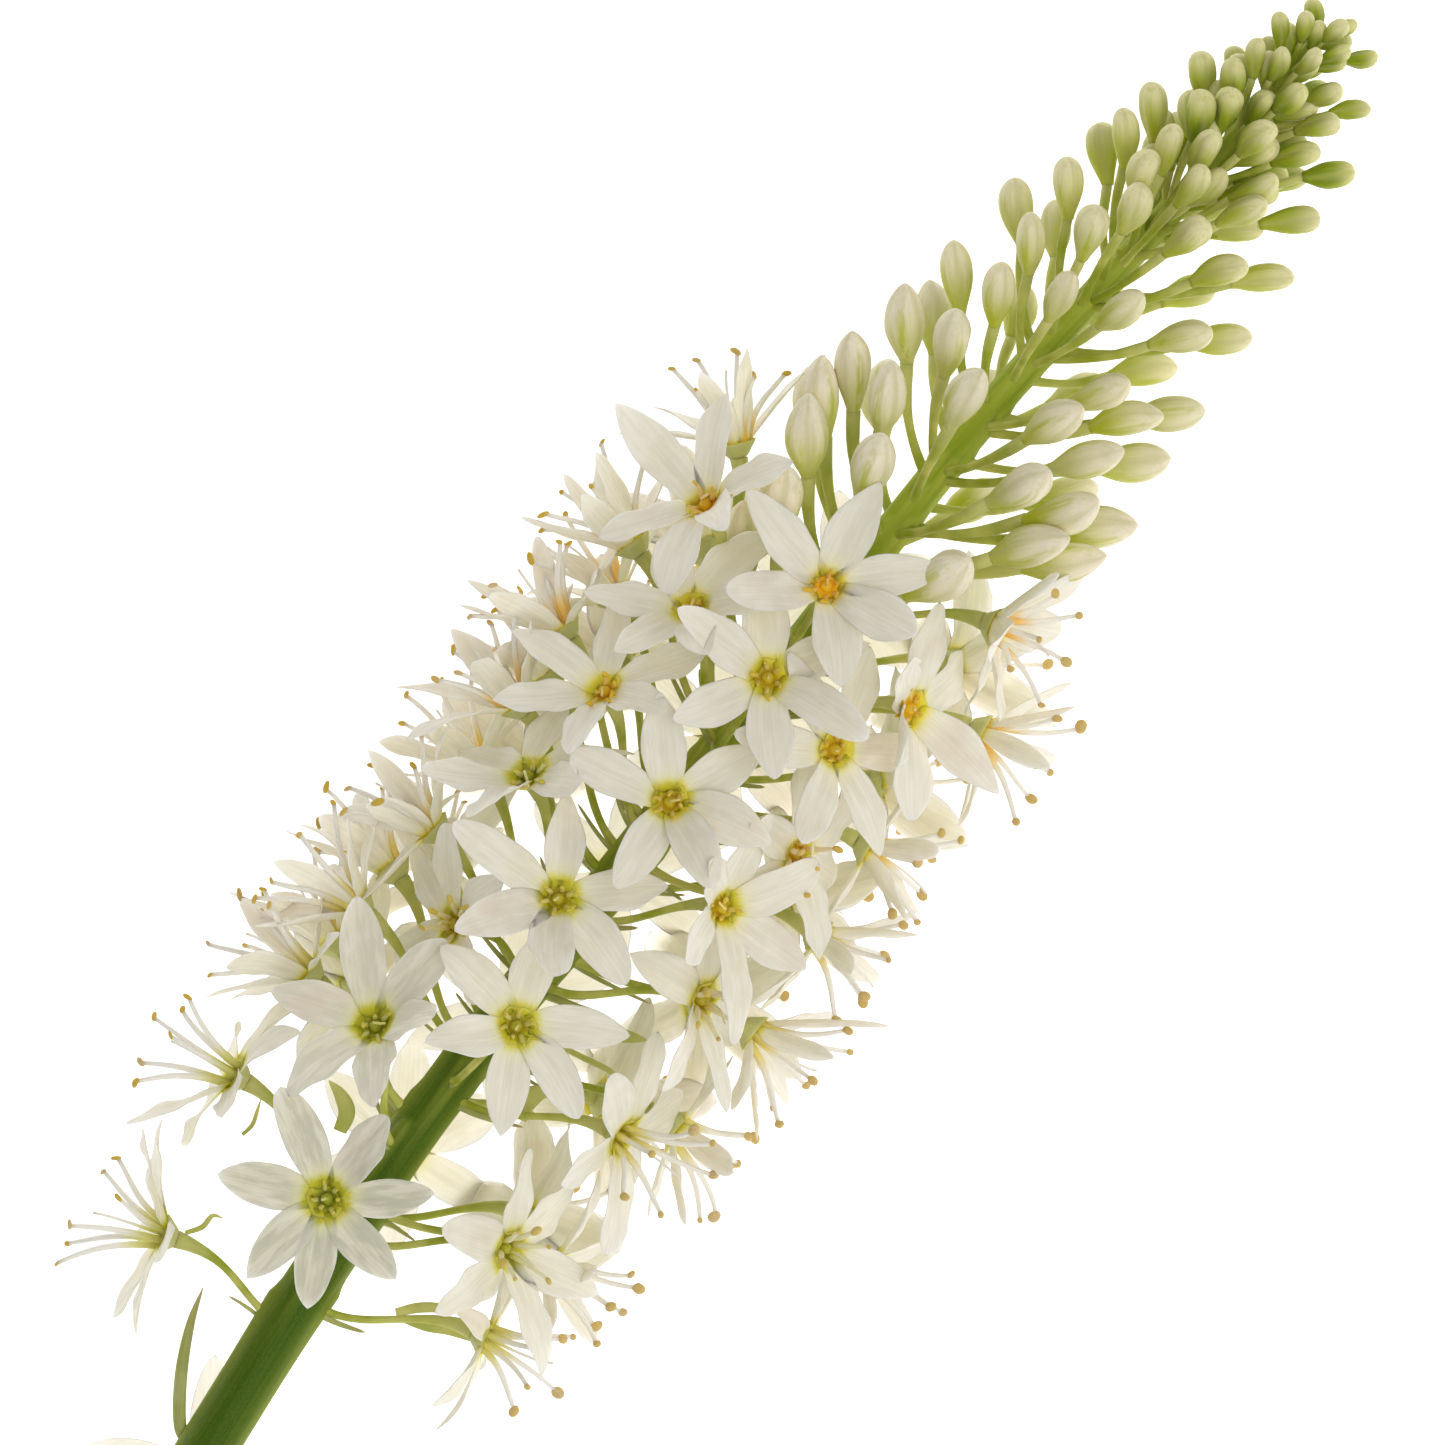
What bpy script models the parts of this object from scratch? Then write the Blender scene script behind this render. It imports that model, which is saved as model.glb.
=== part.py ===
"""A cut foxtail lily: one flower spike laid down on a surface, in metres, with +Z up.

The stem runs along +X, bent as it grew. Its open flowers stand all round its lower part, each a
solid of its own, and its buds follow up to the tip. The stem, the flower stalks and the buds grow
as one piece, so they are one solid. The flowers on the underside lie flat on the surface. Angles
are in degrees here and in radians in the code, and what says nothing else is in metres.
"""

import math
from collections import namedtuple

import bmesh
import bpy
import numpy as np
from mathutils import Matrix, Vector

MM = 0.001
X_AXIS = np.array((1.0, 0.0, 0.0))
Z_AXIS = np.array((0.0, 0.0, 1.0))
NEARLY_ALONG = 0.95
SEED = 11

# How the flowers are kept clear of one another: a gap, the ways tried to part two of them, and
# what counts as no pace towards a plane and as free of it
WELD = 1e-4 * MM
GAP = 0.3 * MM
SURFACE_GAP = 0.1 * MM
PARTING_TILTS = np.radians(np.arange(-80, 81, 8))
NO_PACE = 1e-9
FREE = 9.0

# The view from above: the spike's chord runs from foot to head, both in pixels of that view
PIXEL = 0.15 * MM
FOOT = np.array((209.0, 1445.0))
HEAD = np.array((1310.0, 50.0))
AXIS_HEIGHT = 27 * MM
ORIGIN_ALONG = 122 * MM
ORIGIN_ACROSS = 5 * MM

# The stem in millimetres: how far it bows from its chord, and its radius, at stations along it
STEM_BOW = (
    (-27, -3.0), (0, 0), (26, 2.8), (62, 5.2), (115, 4.6), (168, 4.6), (197, 4.2), (226, 2.1),
    (250, 0.4), (268, 0),
)
STEM_RADIUS = (
    (-27, 4.6), (0, 4.4), (60, 3.5), (120, 2.9), (170, 2.6), (200, 2.2), (245, 1.5), (268, 0.8),
)
STEM_STATIONS = 14
STEM_CUT_SLANT = 20

# An open flower: six narrow petals round a shallow heart, and its stamens, which are short where
# it is turned up and long where it is turned to the side
PETALS = 6
PETAL_LENGTH = 16.3 * MM
PETAL_THICKNESS = 0.65 * MM
PETAL_SHOULDER = 0.61
PETAL_SHOULDER_ANGLE = 20
NOTCH_RADIUS = 5.0 * MM
NOTCH_RISE = 0.3 * MM
HEART_DEPTH = 0.9 * MM
BACK_DEPTH = 2.5 * MM
PETAL_LENGTHS = (-0.05, 0.06)
PETAL_WANDER = 4
PETAL_LIFT = 5
PETAL_LIFTS = (5, 0, 10, -8, 16, 22, 30, 38)
SHORTEST_PETAL = 0.42
NEAR = 3 * PETAL_LENGTH
STAMENS = 3
STAMEN_LENGTHS = (4.5 * MM, 12.5 * MM)
STAMEN_TURNS = np.radians((44, 64))
STAMEN_ROOT = 2.3 * MM
STAMEN_RADIUS = (0.42 * MM, 0.62 * MM)
STAMEN_SPREAD = (12, 36)
STAMEN_SIDES = 3
FLOWER_REACH = 27 * MM
FLOWER_LEAN = 14
STALK_LEAN = math.radians(18)
STALK_SWEEP = 0.8
STALK_STRAIGHT = 10 * MM
STALK_TIMES = (0, 0.35, 0.72, 1)
STALK_RADII = (0.85 * MM, 0.75 * MM, 0.95 * MM, 1.55 * MM)
STALK_NECK = 3 * MM
STALK_RISE = 0.4
STAMEN_SINK = 1.4
HEART_POINTS = 12
NARROWEST_SHOULDER = 0.94
PETAL_COLOUR = (0.9, 0.9, 0.84)
STEM_COLOUR = (0.22, 0.42, 0.06)

# Each open flower seen from above: its heart in pixels, the way one petal points in the view
# or the ways they all do, how far it leans towards the tip, and how far it is turned round the
# stem where its place alone does not say so
REACH_BEYOND = 1.02
SHORTEST_REACH = 0.7
Seen = namedtuple("Seen", "x y petals lean turn", defaults=(FLOWER_LEAN, None))
SEEN = (
    Seen(330, 1193, (48, 105, 168, 222, 262, 306, 357), 0),
    Seen(160, 1232, 85, -18, 80), Seen(232, 1072, 70, -8, 76), Seen(377, 1020, 45),
    Seen(520, 1022, (0, 75, 127, 198, 257, 310)),
    Seen(560, 895, (9, 83, 153, 209, 260, 315)),
    Seen(455, 925, 60, -20, 52),
    Seen(671, 800, (30, 100, 160, 240, 295, 343)),
    Seen(527, 772, 90), Seen(603, 688, 90), Seen(690, 608, 0), Seen(703, 503, 80, 14, 50),
    Seen(826, 586, (8, 68, 140, 195, 280, 325)),
    Seen(768, 677, 30), Seen(837, 750, 55),
    Seen(913, 710, 15), Seen(998, 628, 100, 14, -64), Seen(800, 855, 85, 10, -54),
    Seen(725, 907, 75), Seen(706, 1000, 80), Seen(626, 1137, 60, 8, -62), Seen(512, 1247, 84),
    Seen(490, 1338, 70, 12, -82), Seen(560, 625, 60, 14, 84), Seen(515, 700, 75, 10, 80),
    Seen(430, 825, 60, 4, 80), Seen(355, 903, 75, 0, 80), Seen(305, 970, 60, 0, 82),
    Seen(630, 540, 70, 14, 86), Seen(735, 440, 60, 40, 80), Seen(985, 735, 80, 10, -86),
    Seen(872, 850, 60, 6, -86), Seen(822, 940, 80, 0, -88), Seen(757, 1035, 60, 0, -86),
    Seen(680, 1130, 80, 0, -88), Seen(552, 1268, 60, 4, -88),
)

# The flowers behind those of the view: two rows low on the sides and one at the left edge, given by
# their side, how far they are turned round the stem, their reach and their stations, and one row
# pressed flat beneath with its own petal angles in the lowest one, where the others start from one
# angle. Two petals stand more than two shoulder angles apart, so that their outlines never cross
HIDDEN_TURN_WANDER = 4
HIDDEN_ROWS = (
    (1, 128, 27, (68, 89, 110, 131, 152)), (-1, 128, 27, (56, 77, 98, 119, 140, 161)),
    (1, 103, 28, (71, 85, 105, 122, 138)),
)
PRESSED_ALONG = (-5, 52, 79, 105, 131, 158)
PRESSED_PETAL = 30
LOWEST_PETALS = (75, 176, 218, 260, 302, 344)

# The buds: their middles in pixels, with the reach of one that is not at the usual one, and their
# sizes in millimetres at stations along the stem
BUD_REACH = (
    (150, 25), (176, 24.5), (192, 23.5), (207, 18), (235, 16.5), (245, 14), (253, 11), (262, 8.5),
    (270, 5),
)
BUD_LENGTH = ((150, 14.5), (193, 13.4), (210, 11.5), (235, 9), (253, 6.8), (268, 4.6))
BUD_WIDTH = 0.54
BUD_SLANT = 46
BUD_STALK_SLOPE = ((150, 0.5), (200, 0.7), (235, 1.0), (268, 1.2))
BUD_STALK_RADIUS = ((150, 0.62), (268, 0.42))
BUD_STALK_SAG = 0.12
BUD_SIDES = 5
BUD_PROFILE = ((0.0, 0.30), (0.36, 0.94), (0.78, 0.84))
BUDS = (
    (808, 437), (823, 400), (852, 375), (885, 400), (870, 470), (783, 508), (745, 545, 19), (905, 325),
    (948, 346), (956, 279), (997, 297), (964, 402), (1018, 212), (1028, 246), (1058, 300),
    (1066, 190), (1087, 236), (1129, 212), (1141, 180), (1187, 190), (1182, 241), (1118, 313),
    (1122, 140), (1151, 113), (1166, 153), (1201, 78), (1229, 83), (1196, 118), (1223, 114),
    (1201, 156), (1254, 143), (1239, 216), (1251, 191), (1290, 221), (1217, 276), (1262, 280),
    (1179, 340), (1219, 340), (1096, 396), (1051, 426), (1125, 423), (1168, 414), (1085, 461),
    (1130, 462), (1015, 490), (1058, 512), (1093, 530), (1028, 549), (1061, 562), (936, 579),
    (1254, 60), (1278, 31), (1303, 28), (1275, 66), (1306, 63), (1334, 33), (1334, 56),
    (1360, 58), (1287, 101), (1322, 96), (1350, 111), (1316, 128), (1294, 158), (1329, 174),
)
HIDDEN_BUDS = 20
HIDDEN_BUDS_ALONG = (178, 262)
HIDDEN_BUDS_TURN = (105, 255)
HIDDEN_BUDS_REACH = 0.86
GOLDEN_SHARE = 0.618

# The narrow leaf low on the stem, in pixels
BRACT = ((190, 1446), (180, 1425), (181, 1375), (190, 1325), (203, 1287))
BRACT_HALF_WIDTHS = (0.9 * MM, 1.0 * MM, 0.8 * MM)
BRACT_FLATNESS = 0.45


def unit(vector):
    """The vector at length one."""
    return vector / np.linalg.norm(vector)


def through(points, at):
    """The smooth curve through the points: a cubic between each two, with their neighbours' slopes."""
    x, y = np.array(points, float).T
    slope = np.gradient(y, x)
    i = np.clip(np.searchsorted(x, at) - 1, 0, len(x) - 2)
    width = x[i + 1] - x[i]
    t = np.clip((np.asarray(at, float) - x[i]) / width, 0, 1)
    start = y[i] * (1 + 2 * t) * (1 - t) ** 2 + slope[i] * width * t * (1 - t) ** 2
    end = y[i + 1] * t * t * (3 - 2 * t) + slope[i + 1] * width * t * t * (t - 1)
    return start + end


def axis_point(along):
    """The middle of the stem at a station along the chord, in metres."""
    across = through(STEM_BOW, along / MM) * MM
    return np.array((along - ORIGIN_ALONG, across - ORIGIN_ACROSS, AXIS_HEIGHT))


def seen_at(x, y):
    """Where a pixel of the view lies: its station along the chord, and how far it is off the stem."""
    chord = unit(HEAD - FOOT)
    offset = np.array((x, y)) - FOOT
    along = offset @ chord * PIXEL
    across = offset @ np.array((chord[1], -chord[0])) * PIXEL
    return along, across - through(STEM_BOW, along / MM) * MM


def outward(turn):
    """The way out of the stem at an angle round it, with 0 straight up."""
    return np.array((0.0, math.sin(turn), math.cos(turn)))


def bezier(points, times):
    """Points along the cubic Bezier curve of four control points, at times from 0 to 1."""
    t = np.array(times)[:, None]
    a, b, c, d = points
    return a * (1 - t) ** 3 + 3 * b * t * (1 - t) ** 2 + 3 * c * t * t * (1 - t) + d * t**3


class Flower:
    """One open flower: its heart, the way it faces, its petals, its stamens and its stalk."""

    def __init__(self, name, along, turn, reach, lean, angles, draw, pressed=False):
        self.name = name
        self.pressed = pressed
        self.heart = axis_point(along) + reach * outward(turn)
        lean = math.radians(lean)
        self.face = math.cos(lean) * outward(turn) + math.sin(lean) * X_AXIS
        self.along = unit(X_AXIS - (X_AXIS @ self.face) * self.face)
        self.across = np.cross(self.face, self.along)
        self.angles = np.array(angles)
        self.lengths = PETAL_LENGTH * (1 + draw.uniform(*PETAL_LENGTHS, len(angles)))
        self.lifts = np.full(len(angles), 0.0 if pressed else PETAL_LIFT)
        sideways = min(1.0, abs(turn) / (math.pi / 2)) ** 2
        self.spread = math.radians(np.interp(sideways, (0, 1), STAMEN_SPREAD))
        count = 0 if pressed else STAMENS
        self.stamen_angles = draw.uniform(0, 2 * math.pi) + 2 * math.pi * np.arange(count) / STAMENS
        self.stamen_lengths = np.full(count, np.interp(abs(turn), STAMEN_TURNS, STAMEN_LENGTHS))
        back = self.heart - (BACK_DEPTH + GAP) * self.face
        root = axis_point(along - STALK_SWEEP * reach * math.tan(lean + STALK_LEAN))
        leave = root + STALK_RISE * reach * outward(turn)
        self.stalk = bezier((root, leave, back - STALK_STRAIGHT * self.face, back), STALK_TIMES)
        self.planes = []

    def round(self, angle):
        """The way from the heart at an angle round it."""
        return math.cos(angle) * self.along + math.sin(angle) * self.across

    def at(self, radius, angle, rise):
        """The point at a radius and an angle round the heart, and a rise towards the way it faces."""
        return self.heart + radius * self.round(angle) + rise * self.face

    def core(self):
        """The points that stay as they are: round the heart, behind it, and down the stalk's end."""
        turns = 2 * math.pi * np.arange(HEART_POINTS) / HEART_POINTS
        front = [self.at(NOTCH_RADIUS, a, NOTCH_RISE) for a in turns]
        rear = [self.at(NOTCH_RADIUS, a, NOTCH_RISE - PETAL_THICKNESS) for a in turns]
        neck = [self.at(STALK_RADII[-1], a, -BACK_DEPTH - STALK_NECK) for a in turns[::2]]
        return np.array(front + rear + neck + [self.at(0, 0, -BACK_DEPTH)])

    def petal_share(self, k, lift, normals, offsets):
        """How much of petal k's length, at a lift in degrees, stays behind each plane."""
        shares = []
        for side, part in ((-1, PETAL_SHOULDER), (0, 1.0), (1, PETAL_SHOULDER)):
            angle = self.angles[k] + side * math.radians(PETAL_SHOULDER_ANGLE)
            way = self.round(angle) + math.tan(math.radians(lift)) * self.face
            for rise in (0.0, -PETAL_THICKNESS):
                room = offsets - normals @ (self.heart + rise * self.face)
                pace = normals @ way * part * self.lengths[k]
                shares.append(np.where(pace > NO_PACE, room / np.maximum(pace, NO_PACE), FREE))
        return np.min(shares, axis=0)

    def stamen_way(self, k):
        """The way stamen k points."""
        return math.cos(self.spread) * self.face + math.sin(self.spread) * self.round(self.stamen_angles[k])

    def stamen_share(self, k, normals, offsets):
        """How much of stamen k's length stays behind each plane."""
        room = offsets - STAMEN_RADIUS[1] - normals @ self.heart
        pace = normals @ self.stamen_way(k) * (self.stamen_lengths[k] + STAMEN_ROOT)
        return np.where(pace > NO_PACE, room / np.maximum(pace, NO_PACE), FREE)

    def shares(self, normals, offsets):
        """The least share of any petal or stamen, for each plane."""
        each = [self.petal_share(k, self.lifts[k], normals, offsets) for k in range(len(self.angles))]
        each += [self.stamen_share(k, normals, offsets) for k in range(len(self.stamen_angles))]
        return np.minimum(np.min(each, axis=0), 1.0)


def candidate_normals(gap, faces):
    """Ways to part two shapes: from across the gap between them to almost along the way they face."""
    across = unit(gap)
    ahead = sum(faces)
    ahead = ahead - (ahead @ across) * across
    if np.linalg.norm(ahead) < NO_PACE:
        return across[None, :]
    tilts = PARTING_TILTS[:, None]
    return np.cos(tilts) * across + np.sin(tilts) * unit(ahead)


def part_two(first, second):
    """Keeps two flowers apart by the plane that leaves both of them the most."""
    normals = candidate_normals(second.heart - first.heart, (first.face, second.face))
    near = (first.core() @ normals.T).max(axis=0)
    far = (second.core() @ normals.T).min(axis=0)
    offsets = (near + far) / 2
    score = np.minimum(
        first.shares(normals, offsets - GAP / 2),
        second.shares(-normals, -offsets - GAP / 2),
    )
    score = np.where(far - near > GAP, score, far - near - 1)
    best = int(np.argmax(score))
    first.planes.append((normals[best], offsets[best] - GAP / 2))
    second.planes.append((-normals[best], -offsets[best] - GAP / 2))


def part_from(flower, points, radii):
    """Keeps a flower clear of a solid of these points and radii by the plane that leaves it the most."""
    nearest = points[np.argmin(np.linalg.norm(points - flower.heart, axis=1))]
    normals = candidate_normals(nearest - flower.heart, (flower.face,))
    offsets = (points @ normals.T - radii[:, None]).min(axis=0) - GAP
    score = flower.shares(normals, offsets)
    room = offsets - (flower.core() @ normals.T).max(axis=0)
    score = np.where(room > 0, score, room - 1)
    best = int(np.argmax(score))
    flower.planes.append((normals[best], offsets[best]))


def fit_petals(flower):
    """Lifts each petal the way that leaves it longest, and shortens what still would not fit."""
    normals = np.array([plane[0] for plane in flower.planes])
    offsets = np.array([plane[1] for plane in flower.planes])
    for k in range(len(flower.angles)):
        lifts = (0,) if flower.pressed else PETAL_LIFTS
        fits = [min(1.0, flower.petal_share(k, lift, normals, offsets).min()) for lift in lifts]
        best = int(np.argmax(fits))
        flower.lifts[k] = lifts[best]
        flower.lengths[k] *= max(fits[best], SHORTEST_PETAL)
    for k in range(len(flower.stamen_lengths)):
        share = min(1.0, flower.stamen_share(k, normals, offsets).min())
        flower.stamen_lengths[k] *= max(share, SHORTEST_PETAL)


def petal_angles(first, draw):
    """Six petals round the heart from the first one's angle, each a little off its even place."""
    even = 360 * np.arange(PETALS) / PETALS
    return np.radians(first + even + draw.uniform(-PETAL_WANDER, PETAL_WANDER, PETALS))


def flowers():
    """Every open flower: those seen from above, the rows behind them and the row beneath."""
    draw = np.random.default_rng(SEED)
    chord = unit(HEAD - FOOT)
    view_angle = math.atan2(-chord[1], chord[0])
    places = []
    for seen in SEEN:
        along, off = seen_at(seen.x, seen.y)
        if seen.turn is None:
            reach = max(FLOWER_REACH, abs(off) * REACH_BEYOND)
            turn = math.asin(off / reach)
        else:
            turn = math.radians(seen.turn)
            reach = max(abs(off / math.sin(turn)), FLOWER_REACH * SHORTEST_REACH)
        given = isinstance(seen.petals, tuple)
        angles = np.radians(seen.petals) if given else petal_angles(seen.petals, draw)
        places.append((along, turn, reach, seen.lean, angles - view_angle))
    for side, middle, reach, stations in HIDDEN_ROWS:
        for along in stations:
            wander = draw.uniform(-HIDDEN_TURN_WANDER, HIDDEN_TURN_WANDER)
            turn = side * math.radians(middle + wander)
            angles = petal_angles(draw.uniform(0, 360 / PETALS), draw)
            places.append((along * MM, turn, reach * MM, FLOWER_LEAN, angles))
    made = [Flower(f"bloom_{number:02d}", *place, draw) for number, place in enumerate(places, 1)]
    even = np.radians(PRESSED_PETAL + 360 * np.arange(PETALS) / PETALS)
    lowest = np.sort(view_angle - np.radians(LOWEST_PETALS))
    for along in PRESSED_ALONG:
        name = f"bloom_{len(made) + 1:02d}"
        flat = lowest if along == PRESSED_ALONG[0] else even
        made.append(Flower(name, along * MM, math.pi, AXIS_HEIGHT, 0, flat, draw, pressed=True))
    return made


def bud_places():
    """Each bud's station, its turn round the stem and its reach: the seen ones, then the hidden."""
    places = []
    for x, y, *reach in BUDS:
        along, off = seen_at(x, y)
        usual = through(BUD_REACH, along / MM)
        reach = max((reach[0] if reach else usual) * MM, abs(off))
        places.append((along, math.asin(off / reach), reach))
    for k in range(HIDDEN_BUDS):
        along = np.interp(k, (0, HIDDEN_BUDS - 1), HIDDEN_BUDS_ALONG) * MM
        turn = math.radians(np.interp(k * GOLDEN_SHARE % 1, (0, 1), HIDDEN_BUDS_TURN))
        places.append((along, turn, HIDDEN_BUDS_REACH * through(BUD_REACH, along / MM) * MM))
    return places


def bud_shape(along, turn, reach):
    """The points and radii from a bud's root in the stem, up its stalk and through the bud to its tip."""
    length = through(BUD_LENGTH, along / MM) * MM
    slant = math.radians(BUD_SLANT)
    way = math.cos(slant) * X_AXIS + math.sin(slant) * outward(turn)
    foot = axis_point(along) + reach * outward(turn) - 0.5 * length * way
    rise = through(BUD_STALK_SLOPE, along / MM) * max(reach - 0.5 * length * math.sin(slant), 0)
    root = axis_point(along - 0.5 * length * math.cos(slant) - rise)
    thin = float(np.interp(along / MM, *zip(*BUD_STALK_RADIUS))) * MM
    middle = 0.5 * (root + foot) + BUD_STALK_SAG * reach * (outward(turn) - X_AXIS)
    points = [root, middle, *(foot + part * length * way for part, _ in BUD_PROFILE), foot + length * way]
    radii = [0, thin, *(max(thin, size * 0.5 * BUD_WIDTH * length) for _, size in BUD_PROFILE), 0]
    return np.array(points), np.array(radii)


def material(name, colour, roughness):
    """A Principled material of one colour, not metallic."""
    made = bpy.data.materials.new(name)
    made.use_nodes = True
    shader = made.node_tree.nodes["Principled BSDF"]
    shader.inputs["Base Color"].default_value = (*colour, 1)
    shader.inputs["Roughness"].default_value = roughness
    shader.inputs["Metallic"].default_value = 0
    return made


def object_of(name, bm, collection):
    """An object with the edited mesh, its faces turned outwards and its triangles set."""
    bmesh.ops.recalc_face_normals(bm, faces=bm.faces[:])
    bmesh.ops.triangulate(bm, faces=bm.faces[:])
    mesh = bpy.data.meshes.new(name)
    bm.to_mesh(mesh)
    bm.free()
    made = bpy.data.objects.new(name, mesh)
    collection.objects.link(made)
    return made


def sphere_rings(sides, rings):
    """A sphere's mesh, with each vertex's ring, from 0 at the top, and its place round that ring."""
    bm = bmesh.new()
    bmesh.ops.create_uvsphere(bm, u_segments=sides, v_segments=rings, radius=1)
    places = []
    for vertex in bm.verts:
        x, y, z = vertex.co
        ring = round(math.acos(max(-1.0, min(1.0, z))) * rings / math.pi)
        places.append((vertex, ring, round(math.atan2(y, x) * sides / (2 * math.pi)) % sides))
    return bm, places


def spindle(name, points, radii, sides, collection, flatness=1.0):
    """A closed shoot: a sphere drawn out along the points, with its own radius at each of them."""
    bm, places = sphere_rings(sides, len(points) - 1)
    ways = np.gradient(points, axis=0)
    for vertex, ring, place in places:
        way = unit(ways[ring])
        side = unit(np.cross(way, X_AXIS if abs(way @ X_AXIS) < NEARLY_ALONG else Z_AXIS))
        other = np.cross(way, side)
        angle = 2 * math.pi * place / sides
        out = math.cos(angle) * side + flatness * math.sin(angle) * other
        vertex.co = points[ring] + radii[ring] * out
    return object_of(name, bm, collection)


def tube(name, points, radii, roundness, collection):
    """A round tube along the points, with flat ends and its own radius at each point."""
    curve = bpy.data.curves.new(name, "CURVE")
    curve.dimensions = "3D"
    curve.bevel_depth = 1.0
    curve.bevel_resolution = roundness
    curve.use_fill_caps = True
    spline = curve.splines.new("POLY")
    spline.points.add(len(points) - 1)
    for point, place, radius in zip(spline.points, points, radii):
        point.co = (*place, 1)
        point.radius = radius
    guide = bpy.data.objects.new(name, curve)
    collection.objects.link(guide)
    bpy.context.view_layer.update()
    evaluated = guide.evaluated_get(bpy.context.evaluated_depsgraph_get())
    mesh = bpy.data.meshes.new_from_object(evaluated)
    bm = bmesh.new()
    bm.from_mesh(mesh)
    bmesh.ops.remove_doubles(bm, verts=bm.verts[:], dist=WELD)
    bpy.data.objects.remove(guide)
    bpy.data.meshes.remove(mesh)
    bpy.data.curves.remove(curve)
    return object_of(name, bm, collection)


def prism(name, start, end, radii, sides, collection):
    """A straight rod of a few flat sides from start to end, with a radius at each end."""
    bm = bmesh.new()
    way = Vector(end - start)
    turned = way.to_track_quat("Z", "Y").to_matrix().to_4x4()
    bmesh.ops.create_cone(
        bm,
        cap_ends=True,
        segments=sides,
        radius1=radii[0],
        radius2=radii[1],
        depth=way.length,
        matrix=Matrix.Translation(Vector(start + end) / 2) @ turned,
    )
    return object_of(name, bm, collection)


def fuse(body, pieces):
    """Joins the pieces to the body with one union, applies it and removes them."""
    union = body.modifiers.new("Union", "BOOLEAN")
    union.operation = "UNION"
    union.solver = "EXACT"
    union.operand_type = "COLLECTION"
    union.collection = pieces
    bpy.context.view_layer.update()
    evaluated = body.evaluated_get(bpy.context.evaluated_depsgraph_get())
    mesh = bpy.data.meshes.new_from_object(evaluated)
    body.modifiers.clear()
    body.data = mesh
    for piece in list(pieces.objects):
        bpy.data.objects.remove(piece)


def petal_ring(flower):
    """Each petal's notch, shoulder, tip and shoulder in turn, as radius, angle and rise."""
    ring = []
    order = np.argsort(flower.angles)
    last = flower.angles[order[-1]] - 2 * math.pi
    shoulder = math.radians(PETAL_SHOULDER_ANGLE) * PETALS / len(flower.angles)
    for k in order:
        angle, length = flower.angles[k], flower.lengths[k]
        slope = math.tan(math.radians(flower.lifts[k]))
        wide = max(PETAL_SHOULDER * length, NOTCH_RADIUS * NARROWEST_SHOULDER)
        ring.append((NOTCH_RADIUS, (last + angle) / 2, 0 if flower.pressed else NOTCH_RISE))
        last = angle
        ring.append((wide, angle - shoulder, slope * wide))
        ring.append((length, angle, slope * length))
        ring.append((wide, angle + shoulder, slope * wide))
    return ring


def bloom(flower, parts, pieces):
    """One open flower: a star of petals, each with a thickness, and its stamens fused to its heart."""
    outline = petal_ring(flower)
    bm, places = sphere_rings(len(outline), 3)
    heart = 0 if flower.pressed else HEART_DEPTH
    for vertex, ring, place in places:
        if ring == 0:
            vertex.co = flower.at(0, 0, -heart)
        elif ring == 3:
            vertex.co = flower.at(0, 0, -BACK_DEPTH)
        else:
            radius, angle, rise = outline[place]
            vertex.co = flower.at(radius, angle, rise - (ring - 1) * PETAL_THICKNESS)
    body = object_of(flower.name, bm, parts)
    for k, length in enumerate(flower.stamen_lengths):
        way = flower.stamen_way(k)
        aside = way - (way @ flower.face) * flower.face
        foot = flower.heart - STAMEN_SINK * heart * flower.face + STAMEN_ROOT * aside
        tip = foot + (length + heart) * way
        prism(f"{flower.name}_stamen_{k}", foot, tip, STAMEN_RADIUS, STAMEN_SIDES, pieces)
    if len(flower.stamen_lengths):
        fuse(body, pieces)
    body.data.materials.clear()
    body.data.materials.append(material(flower.name, PETAL_COLOUR, 0.55))


def stem(all_flowers, buds, parts, pieces):
    """The stem, the flower stalks, the buds on their stalks and the low leaf, as one solid."""
    stations = np.linspace(STEM_RADIUS[0][0], STEM_RADIUS[-1][0], STEM_STATIONS)
    points = np.array([axis_point(station * MM) for station in stations])
    body = tube("stem", points, through(STEM_RADIUS, stations) * MM, 3, parts)
    for vertex in body.data.vertices:
        if vertex.co.x < points[0][0] + MM:
            vertex.co.x += (vertex.co.z - AXIS_HEIGHT) * math.tan(math.radians(STEM_CUT_SLANT))
    for flower in all_flowers:
        tube(f"{flower.name}_stalk", flower.stalk, STALK_RADII, 0, pieces)
    for number, (shape, radii) in enumerate(buds):
        spindle(f"bud_{number:02d}", shape, radii, BUD_SIDES, pieces)
    places = [seen_at(x, y) for x, y in BRACT]
    leaf = np.array([axis_point(along) + off * outward(math.pi / 2) for along, off in places])
    spindle("bract", leaf, np.array([0, *BRACT_HALF_WIDTHS, 0]), 6, pieces, BRACT_FLATNESS)
    fuse(body, pieces)
    body.data.materials.clear()
    body.data.materials.append(material("stem", STEM_COLOUR, 0.5))


def keep_apart(all_flowers, buds):
    """The planes that keep each flower off the surface, the other flowers, their stalks and the buds."""
    for number, first in enumerate(all_flowers):
        if not first.pressed:
            first.planes.append((-Z_AXIS, -SURFACE_GAP))
        for second in all_flowers[number + 1 :]:
            if np.linalg.norm(first.heart - second.heart) < NEAR:
                part_two(first, second)
        for other in all_flowers:
            if other is not first and np.linalg.norm(first.heart - other.heart) < NEAR:
                part_from(first, other.stalk[1:], np.array(STALK_RADII[1:]))
        for shape, radii in buds:
            if np.linalg.norm(first.heart - shape, axis=1).min() < NEAR:
                part_from(first, shape[1:], radii[1:])


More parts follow.
